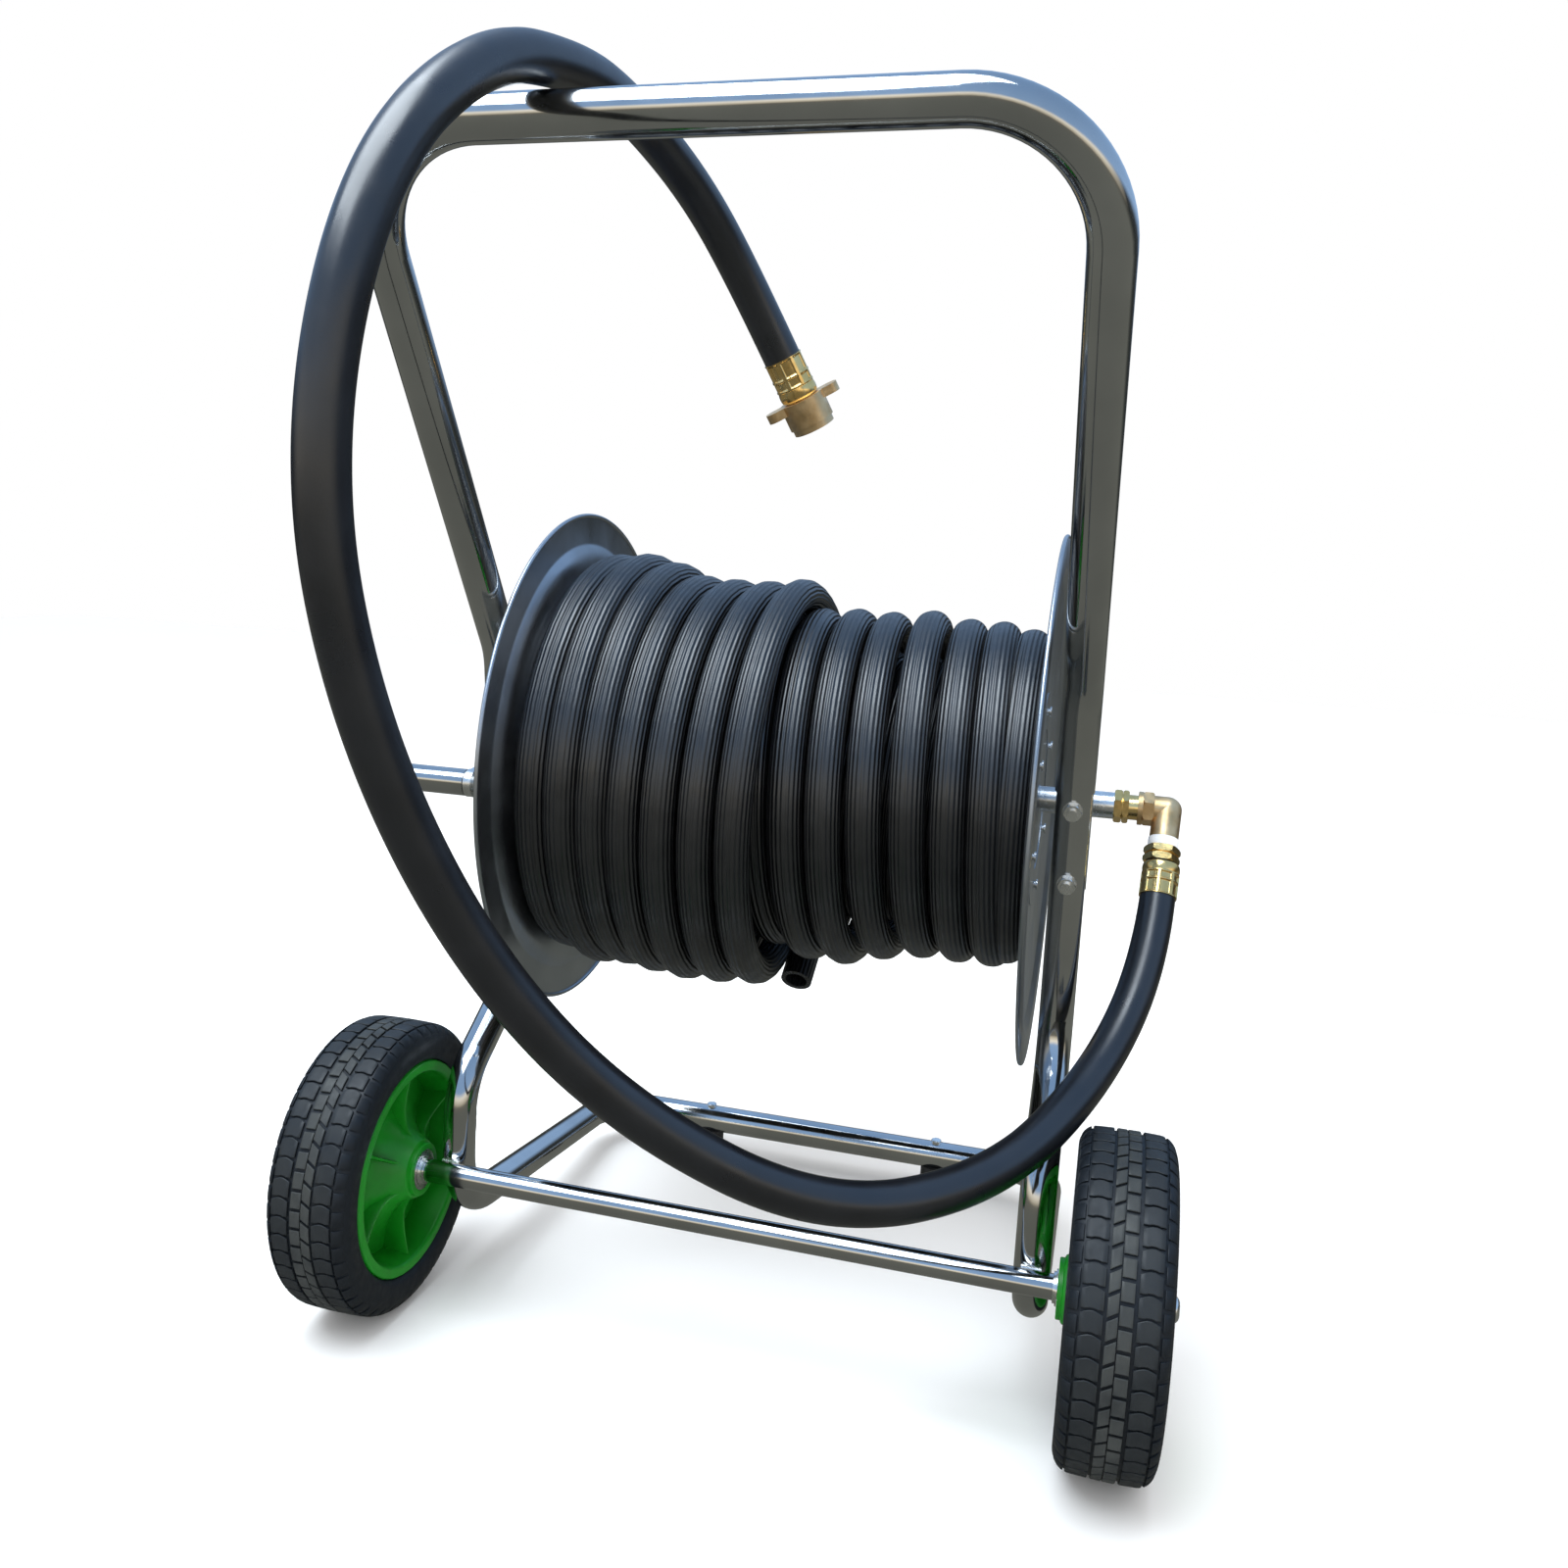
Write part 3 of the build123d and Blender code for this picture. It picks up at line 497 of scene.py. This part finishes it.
# The wound hose is followed from its bare end inwards: a straight tail behind the drum, a loose
# layer over the left half, then two full layers. A place on it is a number of turns, whole at the
# top of the drum.
bare_end = Vector((-2 * mm, drum.y + 24 * mm, drum.z - 209 * mm))
tail_bend = Vector((0, drum.y + 72 * mm, drum.z - 176 * mm))
tail_turns = -0.36
first_x = -9.8 * mm
wide_pitch = 33.3 * mm
wide_turns = 3
close_pitch = 27.5 * mm
wall_x = 204 * mm
outer_turns = wide_turns + (wall_x + first_x - wide_pitch * wide_turns) / close_pitch
second_start = 7.5
second_pitch = 32.9 * mm
second_end = second_start + 2 * wall_x / second_pitch
first_radius = 112.5 * mm
first_pitch = 32.2 * mm
winding_turns = 33
outlet_x = middle("hose_outlet").x
first_start = winding_turns - (wall_x - outlet_x) / first_pitch
steps_per_turn = 16

# radius of the two outer layers at the top and the bottom of each turn, in millimetres
outer_tops = [173, 169, 169, 171, 182, 189, 187, 179]
outer_bottoms = [186, 189, 190, 187, 183, 184, 181, 160]
second_tops = [143, 143, 143, 143, 143, 144, 146.5, 148, 147, 150.5, 145, 144.5, 139]
second_bottoms = [143, 143, 143, 143, 143, 146, 156, 157, 148, 142, 142, 142, 139]
# the whole turn at which the second layer's two lists start
second_list_start = 8
# how far the hose has slipped sideways along the drum at a whole turn, in millimetres
slips = {17: 4, 18: 5.5, 19: 3}


def between(tops, bottoms, turns):
    """Radius of a layer at a number of turns, easing from each top to the next bottom and back."""
    whole = int(turns)
    share = turns - whole
    top = tops[min(whole if share < 0.5 else whole + 1, len(tops) - 1)]
    bottom = bottoms[min(whole, len(bottoms) - 1)]
    return (top + (bottom - top) * (1 - cos(tau * share)) / 2) * mm


def climb(gap, low, high):
    """Radius of a turn that climbs over the one beside it, from how far apart they are."""
    return min(high, low + sqrt(max(0, hose_diameter**2 - gap**2)))


def slip(turns):
    """Sideways slip at a number of turns, eased between whole turns."""
    whole = int(turns)
    share = (1 - cos(pi * (turns - whole))) / 2
    return (slips.get(whole, 0) * (1 - share) + slips.get(whole + 1, 0) * share) * mm


def winding_place(turns):
    """(x, radius) of the wound hose's centre line, at a number of turns."""
    if turns < wide_turns:
        return first_x - wide_pitch * turns, between(outer_tops, outer_bottoms, max(turns, 0))
    if turns < outer_turns:
        x = first_x - wide_pitch * wide_turns - close_pitch * (turns - wide_turns)
        return x, between(outer_tops, outer_bottoms, turns)
    if turns < second_start:
        gap = second_pitch * (turns + 1 - second_start)
        low = between(second_tops, second_bottoms, turns + 1 - second_start)
        return -wall_x, climb(gap, low, between(outer_tops, outer_bottoms, turns))
    if turns < second_end:
        x = -wall_x + second_pitch * (turns - second_start)
        radius = between(second_tops, second_bottoms, turns - second_list_start)
        return x + slip(turns), radius
    if turns < first_start:
        gap = first_pitch * (turns + 1 - first_start)
        high = between(second_tops, second_bottoms, turns - second_list_start)
        return wall_x, climb(gap, first_radius, high)
    return wall_x - first_pitch * (turns - first_start), first_radius


def winding_route():
    """Control points of the wound hose, from its bare end to the outlet in the barrel."""
    points = [bare_end, tail_bend]
    total = int((winding_turns - tail_turns) * steps_per_turn)
    # a quadratic NURBS runs inside its control points, so they stand out by this much
    overshoot = 1 / (0.75 + 0.25 * cos(tau / steps_per_turn))
    for step in range(total + 1):
        turns = winding_turns - (total - step) / steps_per_turn
        x, radius = winding_place(turns)
        if turns < 0:
            radius = between(outer_tops, outer_bottoms, turns % 1)
        angle = tau * turns
        reach = radius * overshoot
        points.append(Vector((x, drum.y - reach * sin(angle), drum.z + reach * cos(angle))))
    return points


def make_winding():
    """The wound hose as one tube, pressed a little flat by its neighbours, open at its cut end."""
    line = sampled(winding_route(), 3)
    sides = 32
    half_width = hose_diameter / 2 * 1.035
    half_height = hose_diameter / 2 * 0.97
    bore = 0.66
    bore_depth = 45 * mm
    points = []
    places = []

    def ring(centre, tangent, scale, along):
        outward = Vector((0, centre.y - drum.y, centre.z - drum.z)).normalized()
        sideways = tangent.cross(outward).normalized()
        outward = sideways.cross(tangent)
        for side in range(sides):
            angle = tau * side / sides
            width = half_width * scale * cos(angle)
            height = half_height * scale * sin(angle)
            points.append(centre + sideways * width + outward * height)
        places.append(along)

    # inside of the open end, as (depth, share of the hose's outside)
    end_wall = [
        (bore_depth, bore * 0.97),
        (bore_depth * 0.5, bore * 0.98),
        (1.5 * mm, bore),
        (0, bore * 1.06),
        (0, 0.97),
    ]
    tangent = (line[1] - line[0]).normalized()
    for back, scale in end_wall:
        ring(line[0] + tangent * back, tangent, scale, -back)
    along = 0
    for index, centre in enumerate(line):
        before = line[max(index - 1, 0)]
        after = line[min(index + 1, len(line) - 1)]
        along += (centre - before).length
        eased_end = 0.995 if index == 0 else 1
        ring(centre, (after - before).normalized(), eased_end, along)
    faces = grid_faces(len(places), sides)
    faces.append(tuple(range(sides)))
    faces.append(tuple(reversed(range(len(points) - sides, len(points)))))
    hose = mesh_piece("wound_hose", points, faces, "drum", "hose_rubber", crease=50)
    uv = hose.data.uv_layers.new(name="along_hose")
    for polygon in hose.data.polygons:
        columns = [hose.data.loops[loop].vertex_index % sides for loop in polygon.loop_indices]
        wraps = max(columns) - min(columns) > sides / 2
        for loop, column in zip(polygon.loop_indices, columns):
            row = hose.data.loops[loop].vertex_index // sides
            if wraps and column == 0:
                column = sides
            uv.data[loop].uv = (column / sides, places[row])
    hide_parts("hose_winding", "outer_winding")


make_winding()


# ---------------------------------------------------------------- brass couplings
def lattice_ferrule(name, origin, axis, length, outer, hose_end_first):
    """Pressed ferrule: a domed collar, then two rows of sunk panels between raised bars."""
    around = 160
    rings = 60
    panels = 8
    sunk = outer - 1.4 * mm
    # shares of the length: the collar and the raised rows, the last of which runs past the end
    collar = 0.27
    collar_slope = 0.06
    rows = (collar, 0.33), (0.52, 0.58), (0.96, 1.1)
    row_slope = 0.03
    # shares of a panel's width
    bar_half = 0.13
    bar_slope = 0.05
    axis = Vector(axis).normalized()
    level, rising = across_axes(axis)

    def step_up(value, edge, width):
        share = min(1, max(0, (value - edge) / width + 0.5))
        return share * share * (3 - 2 * share)

    def radius(share, angle):
        if share < collar:
            swell = sin(pi * (share / collar)) * 0.5 + 0.5
            return sunk + (outer - sunk) * swell * step_up(share, 0.0, collar_slope)
        turn = (angle * panels / tau) % 1
        bar = 1 - step_up(min(turn, 1 - turn), bar_half, bar_slope)
        row = max(
            step_up(share, start, row_slope) * (1 - step_up(share, end, row_slope))
            for start, end in rows
        )
        return sunk + (outer - sunk) * max(bar, row)

    points = []
    for ring in range(rings + 1):
        share = ring / rings
        along = length * (1 - share if hose_end_first else share)
        for side in range(around):
            angle = tau * side / around
            outward = level * cos(angle) + rising * sin(angle)
            points.append(origin + axis * along + outward * radius(share, angle))
    faces = grid_faces(rings + 1, around)
    faces.append(tuple(range(around)))
    faces.append(tuple(range(len(points) - around, len(points))))
    return mesh_piece(name, points, faces, "frame", "turned_brass", crease=60)


inlet_point = Vector(leader_route[0])
inlet_axis = (Vector(leader_route[1]) - inlet_point).normalized()
inlet_length = 29.7 * mm
inlet_ferrule = lattice_ferrule(
    "ferrule_inlet",
    inlet_point - inlet_axis * inlet_length,
    inlet_axis,
    length=inlet_length,
    outer=16 * mm,
    hose_end_first=False,
)
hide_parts("inlet_ferrule")

end_point = Vector(leader_route[-1])
end_axis = (end_point - Vector(leader_route[-2])).normalized()
end_ferrule = lattice_ferrule(
    "ferrule_end",
    end_point,
    end_axis,
    length=36 * mm,
    outer=16.9 * mm,
    hose_end_first=True,
)
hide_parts("end_ferrule")


# ---------------------------------------------------------------- wheels
blocks_around = 50


def crown_reach(across):
    """Radius of the tyre's outside, by distance from its middle: almost flat, round shoulders."""
    flat = tyre_half * 0.64
    shoulder_drop = 15 * mm
    gone = max(0, abs(across) - flat) / (tyre_half - flat)
    sag = 1.6 * mm * (across / tyre_half) ** 2
    return crown_radius - sag - shoulder_drop * (1 - sqrt(max(0, 1 - gone**2.2)))


def carcass(centre):
    """Outline of the tyre under its blocks, as (x, radius)."""
    outline = []
    steps = 40
    for step in range(steps + 1):
        across = tyre_half * sin((step / steps - 0.5) * pi)
        under = groove_depth * max(0, 1 - (abs(across) / tyre_half) ** 8)
        outline.append((centre + across, crown_reach(across) - under))
    wall = crown_radius - 27 * mm
    inner = 95.5 * mm
    one_side = [
        (tyre_half - 0.4 * mm, wall),
        (tyre_half - 2.2 * mm, inner + 1.5 * mm),
        (tyre_half - 4 * mm, inner),
    ]
    outline += [(centre + across, radius) for across, radius in one_side]
    outline += [(centre - across, radius) for across, radius in reversed(one_side)]
    return outline


def tread_blocks():
    """Blocks in one pitch of the tread, the same for both tyres before they are mirrored.

    Each is (left edge, right edge, lower curve, upper curve), in millimetres and in pitches.
    """

    def shield(share):
        return -0.10 - 0.17 * (1 - abs(2 * share - 1) ** 1.5)

    def notch(share):
        return 0.72 - 0.12 * (1 - min(1, abs(share - 0.5) * 5)) - 0.04 * abs(2 * share - 1)

    def flat(value):
        return lambda share: value

    def slant(value, fall):
        return lambda share: value + fall * share

    return [
        (-26.8, -11.0, shield, notch),
        (11.8, 27.4, shield, notch),
        (-8.6, -1.0, slant(0.10, -0.28), slant(0.92, -0.28)),
        (-0.2, 9.0, slant(0.32, 0.02), slant(1.14, 0.02)),
        (-35.6, -28.4, flat(0.06), flat(0.84)),
        (29.2, 35.6, flat(0.36), flat(1.14)),
    ]


def add_block(points, faces, centre, mirror, outline, index):
    """One tread block: a crowned top with eased edges, and walls down into the groove."""
    left, right, lower, upper = outline
    spans = 5
    skirt_sink = 2.8 * mm
    edge_sink = 0.35 * mm
    edge_x = 0.55 / (right - left)
    edge_t = 0.035
    inner_x = [edge_x + (1 - 2 * edge_x) * k / spans for k in range(1, spans)]
    shares_x = [0, edge_x, *inner_x, 1 - edge_x, 1]
    shares_t = [0, edge_t, 0.5, 1 - edge_t, 1]
    rows = [(0, True)] + [(t, False) for t in shares_t] + [(1, True)]
    cols = [(0, True)] + [(x, False) for x in shares_x] + [(1, True)]
    start = len(points)
    for share_t, skirt_t in rows:
        for share_x, skirt_x in cols:
            across = (left + (right - left) * share_x) * mm * mirror
            turn = index + lower(share_x) + (upper(share_x) - lower(share_x)) * share_t
            angle = tau * turn / blocks_around
            sink = 0
            if skirt_t or skirt_x:
                sink = skirt_sink
            elif share_t in (0, 1) or share_x in (0, 1):
                sink = edge_sink
            reach = crown_reach(across) - sink
            y = axle.y + reach * cos(angle)
            z = axle.z + reach * sin(angle)
            points.append(Vector((centre + across, y, z)))
    faces.extend(grid_faces(len(rows), len(cols), close_columns=False, start=start))


def make_tyre(name, body):
    centre = middle(name).x
    mirror = 1 if centre > 0 else -1
    axis_point = Vector((0, axle.y, axle.z))
    points, faces = spun(carcass(centre), axis_point, (1, 0, 0), steps=150)
    for index in range(blocks_around):
        for outline in tread_blocks():
            add_block(points, faces, centre, mirror, outline, index)
    tyre = mesh_piece(name + "_tread", points, faces, body, "tyre_rubber", crease=35)
    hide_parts(name)


def make_rim(name, body):
    """Moulded wheel centre: lipped ring, sunk web, six thin ribs on both faces and a hub boss."""
    low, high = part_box(name)
    centre = middle("tyre" + name[3:]).x
    side = 1 if centre > 0 else -1
    hub_inner = (low.x if side > 0 else high.x) - centre
    hub_outer = (high.x if side > 0 else low.x) - centre
    axis_point = Vector((centre, axle.y, axle.z))
    points = []
    faces = []

    def add_spun(outline, steps):
        added, sides = spun(outline, axis_point, (1, 0, 0), steps=steps, start=len(points))
        points.extend(added)
        faces.extend(sides)

    # the ring that carries the tyre: its lips, its floor and the well under the tyre
    lip_half = 35 * mm
    lip = 95 * mm
    floor = 80 * mm
    well_half = 28 * mm
    well = floor + 6.5 * mm
    ring_outline = [
        (-lip_half, floor + 6 * mm),
        (-lip_half + 2.5 * mm, floor + 4.5 * mm),
        (-6 * mm, floor),
        (6 * mm, floor),
        (lip_half - 2.5 * mm, floor + 4.5 * mm),
        (lip_half, floor + 6 * mm),
        (lip_half, lip - 1 * mm),
        (lip_half - 3 * mm, lip),
        (well_half, lip),
        (well_half, well),
        (-well_half, well),
        (-well_half, lip),
        (-lip_half + 3 * mm, lip),
        (-lip_half, lip - 1 * mm),
    ]
    add_spun(eased(ring_outline, 1.6 * mm), steps=128)

    # each side of the web falls from the hub's end to the middle: (share of the height, radius)
    web_falls = [(1.0, 22), (0.96, 25.5), (0.62, 32), (0.36, 44), (0.18, 60), (0.12, 82)]

    def web_face(hub_end, falls):
        height = hub_end - copysign(3 * mm, hub_end)
        return [(height * share, radius * mm) for share, radius in falls]

    add_spun(web_face(hub_inner, web_falls) + web_face(hub_outer, reversed(web_falls)), steps=128)

    # the hub, with a seat for a bearing in each end
    bore = 13 * mm
    seat = 17.45 * mm
    seat_depth = 10 * mm * side
    hub_end_radius = 23.2 * mm
    hub_outline = [
        (hub_inner, seat),
        (hub_inner, hub_end_radius),
        (0, 24.6 * mm),
        (hub_outer, hub_end_radius),
        (hub_outer, seat),
        (hub_outer - seat_depth, seat),
        (hub_outer - seat_depth, bore),
        (hub_inner + seat_depth, bore),
        (hub_inner + seat_depth, seat),
    ]
    add_spun(eased(hub_outline, 1.0 * mm), steps=96)

    ribs = 6
    for rib in range(ribs):
        angle = tau * rib / ribs + radians(30)
        outward = Vector((0, cos(angle), sin(angle)))
        sideways = Vector((0, -sin(angle), cos(angle)))
        for hub_end in (hub_inner, hub_outer):
            add_rib(points, faces, axis_point, outward, sideways, hub_end, floor)
    wheel = mesh_piece(name + "_moulding", points, faces, body, "green_plastic", crease=35)
    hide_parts(name)


def add_rib(points, faces, axis_point, outward, sideways, hub_end, floor):
    """One thin rib with a rounded, slightly sagging free edge, thicker at its foot."""
    steps = 14
    root = 22 * mm
    tip = floor + 3 * mm
    foot = 3 * mm
    lowest = 21 * mm
    hub_rise = abs(hub_end) - 1.5 * mm - lowest
    hub_fall = 6
    tip_rise = 8 * mm
    # up one side of the rib and down the other: (share of the height, half thickness)
    section = [(0.0, 2.4), (0.5, 1.9), (0.93, 1.45), (1.0, 0.9)]
    section += [(rise, -half) for rise, half in reversed(section)]
    start = len(points)
    for step in range(steps + 1):
        share = step / steps
        reach = root + (tip - root) * share
        height = lowest + hub_rise * exp(-share * hub_fall) + tip_rise * share**2
        middle_line = axis_point + outward * reach
        for rise, half in section:
            along = copysign(foot + (height - foot) * rise, hub_end)
            points.append(middle_line + sideways * (half * mm) + Vector((along, 0, 0)))
    faces.extend(grid_faces(steps + 1, len(section), close_columns=False, start=start))


for side_name in ("left", "right"):
    make_tyre("tyre_" + side_name, "wheel_" + side_name)
    make_rim("rim_" + side_name, "wheel_" + side_name)


# ---------------------------------------------------------------- flanges
def make_flange(name):
    """Spun flange: rolled bead, flat outer band, two shallow steps and the dish."""
    low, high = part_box(name)
    side = 1 if low.x > 0 else -1
    band = side * (abs(low.x) + abs(high.x)) / 2
    bead = 2 * mm
    bead_middle = flange_radius - bead
    bead_steps = 12
    bead_turn = tau * 0.9
    sheet = 2 * mm * side
    # the face towards the hose, from the hole outwards: (depth of the dish, radius)
    skin = [
        (8, 12.05),
        (8, 146),
        (7, 154),
        (5.6, 188),
        (4.8, 193),
        (4.4, 203),
        (0.6, 208),
        (0.0, 211),
        (0.0, 234.5),
    ]
    inside = [(band - side * depth * mm, radius * mm) for depth, radius in skin]
    roll = []
    for step in range(bead_steps + 1):
        angle = -pi / 2 + bead_turn * step / bead_steps
        roll.append((band - side * bead * cos(angle), bead_middle + bead * sin(angle)))
    outside = [(x + sheet, radius) for x, radius in reversed(inside)]
    centre = Vector((0, drum.y, drum.z))
    points, faces = spun(inside + roll + outside, centre, (1, 0, 0), steps=192)
    flange = mesh_piece(name + "_spun", points, faces, "drum", "flange_steel", crease=50)
    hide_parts(name)


# ---------------------------------------------------------------- floor and light
def make_floor():
    bpy.ops.mesh.primitive_plane_add(size=14, location=(0, 0, 0))
    floor = bpy.context.object
    floor.name = "floor"
    shader = Shader("pale_floor", (0.95, 0.95, 0.95), 0.6, Specular_IOR_Level=0.1)
    floor.data.materials.append(shader.material)
    floor.visible_glossy = False


def sky_ramp(tree, height, stops):
    """A colour by height, from straight down at 0 to straight up at 1."""
    ramp = tree.nodes.new("ShaderNodeValToRGB")
    elements = ramp.color_ramp.elements
    while len(elements) < len(stops):
        elements.new(0.5)
    for element, (position, colour) in zip(elements, stops):
        element.position = position
        element.color = (*colour, 1)
    tree.links.new(height, ramp.inputs["Fac"])
    return ramp.outputs["Color"]


def make_world():
    """White to the camera, soft white as light, and in reflections a yard under a blue sky.

    The yard's horizon is sunlit on the side the cart is seen from, and dark behind the cart.
    """
    world = bpy.data.worlds.new("studio")
    scene.world = world
    world.use_nodes = True
    tree = world.node_tree
    tree.nodes.clear()
    link = tree.links.new
    place = tree.nodes.new("ShaderNodeTexCoord")
    split = tree.nodes.new("ShaderNodeSeparateXYZ")
    link(place.outputs["Generated"], split.inputs["Vector"])
    height = tree.nodes.new("ShaderNodeMapRange")
    height.inputs["From Min"].default_value = -1
    height.inputs["From Max"].default_value = 1
    link(split.outputs["Z"], height.inputs["Value"])
    ground = [(0.0, (0.15, 0.155, 0.14)), (0.4, (0.17, 0.175, 0.155))]
    sunlit = [
        (0.475, (0.2, 0.19, 0.16)),
        (0.5, (0.62, 0.55, 0.42)),
        (0.575, (1.25, 1.16, 0.98)),
    ]
    shade = [
        (0.46, (0.06, 0.065, 0.06)),
        (0.5, (0.03, 0.035, 0.035)),
        (0.56, (0.05, 0.06, 0.07)),
    ]
    sky = [(0.64, (0.36, 0.56, 0.88)), (1.0, (0.28, 0.47, 0.8))]
    near_side = sky_ramp(tree, height.outputs["Result"], ground + sunlit + sky)
    far_side = sky_ramp(tree, height.outputs["Result"], ground + shade + sky)
    # the yard changes from its near side (-1) to its far side (1) between these two places
    turn = tree.nodes.new("ShaderNodeMapRange")
    turn.inputs["From Min"].default_value = -0.45
    turn.inputs["From Max"].default_value = 0.1
    link(split.outputs["Y"], turn.inputs["Value"])
    yard = tree.nodes.new("ShaderNodeMix")
    yard.data_type = "RGBA"
    link(turn.outputs["Result"], yard.inputs["Factor"])
    link(near_side, yard.inputs["A"])
    link(far_side, yard.inputs["B"])

    def white(strength):
        made = tree.nodes.new("ShaderNodeBackground")
        made.inputs["Color"].default_value = (1, 1, 1, 1)
        made.inputs["Strength"].default_value = strength
        return made

    def for_rays(kind, others, chosen):
        """One background for a kind of ray, and another for all others."""
        made = tree.nodes.new("ShaderNodeMixShader")
        link(path.outputs[kind], made.inputs[0])
        link(others.outputs[0], made.inputs[1])
        link(chosen.outputs[0], made.inputs[2])
        return made

    path = tree.nodes.new("ShaderNodeLightPath")
    reflected = white(1.0)
    link(yard.outputs["Result"], reflected.inputs["Color"])
    lit = for_rays("Is Glossy Ray", white(1.12), reflected)
    output = tree.nodes.new("ShaderNodeOutputWorld")
    link(for_rays("Is Camera Ray", lit, white(1.0)).outputs[0], output.inputs["Surface"])


def make_area_light(name, place, target, size, power, colour):
    light = bpy.data.lights.new(name, "AREA")
    light.size = size
    light.energy = power
    light.color = colour
    lamp = bpy.data.objects.new(name, light)
    scene.collection.objects.link(lamp)
    lamp.location = place
    lamp.rotation_mode = "QUATERNION"
    lamp.rotation_quaternion = (Vector(target) - Vector(place)).to_track_quat("-Z", "Y")


make_flange("flange_left")
make_flange("flange_right")
make_floor()
make_world()
make_area_light(
    "overhead",
    place=(-0.7, -0.9, 3.0),
    target=(0, 0, 0.4),
    size=2.4,
    power=120,
    colour=(0.86, 0.94, 1.0),
)
scene.view_settings.view_transform = "Standard"
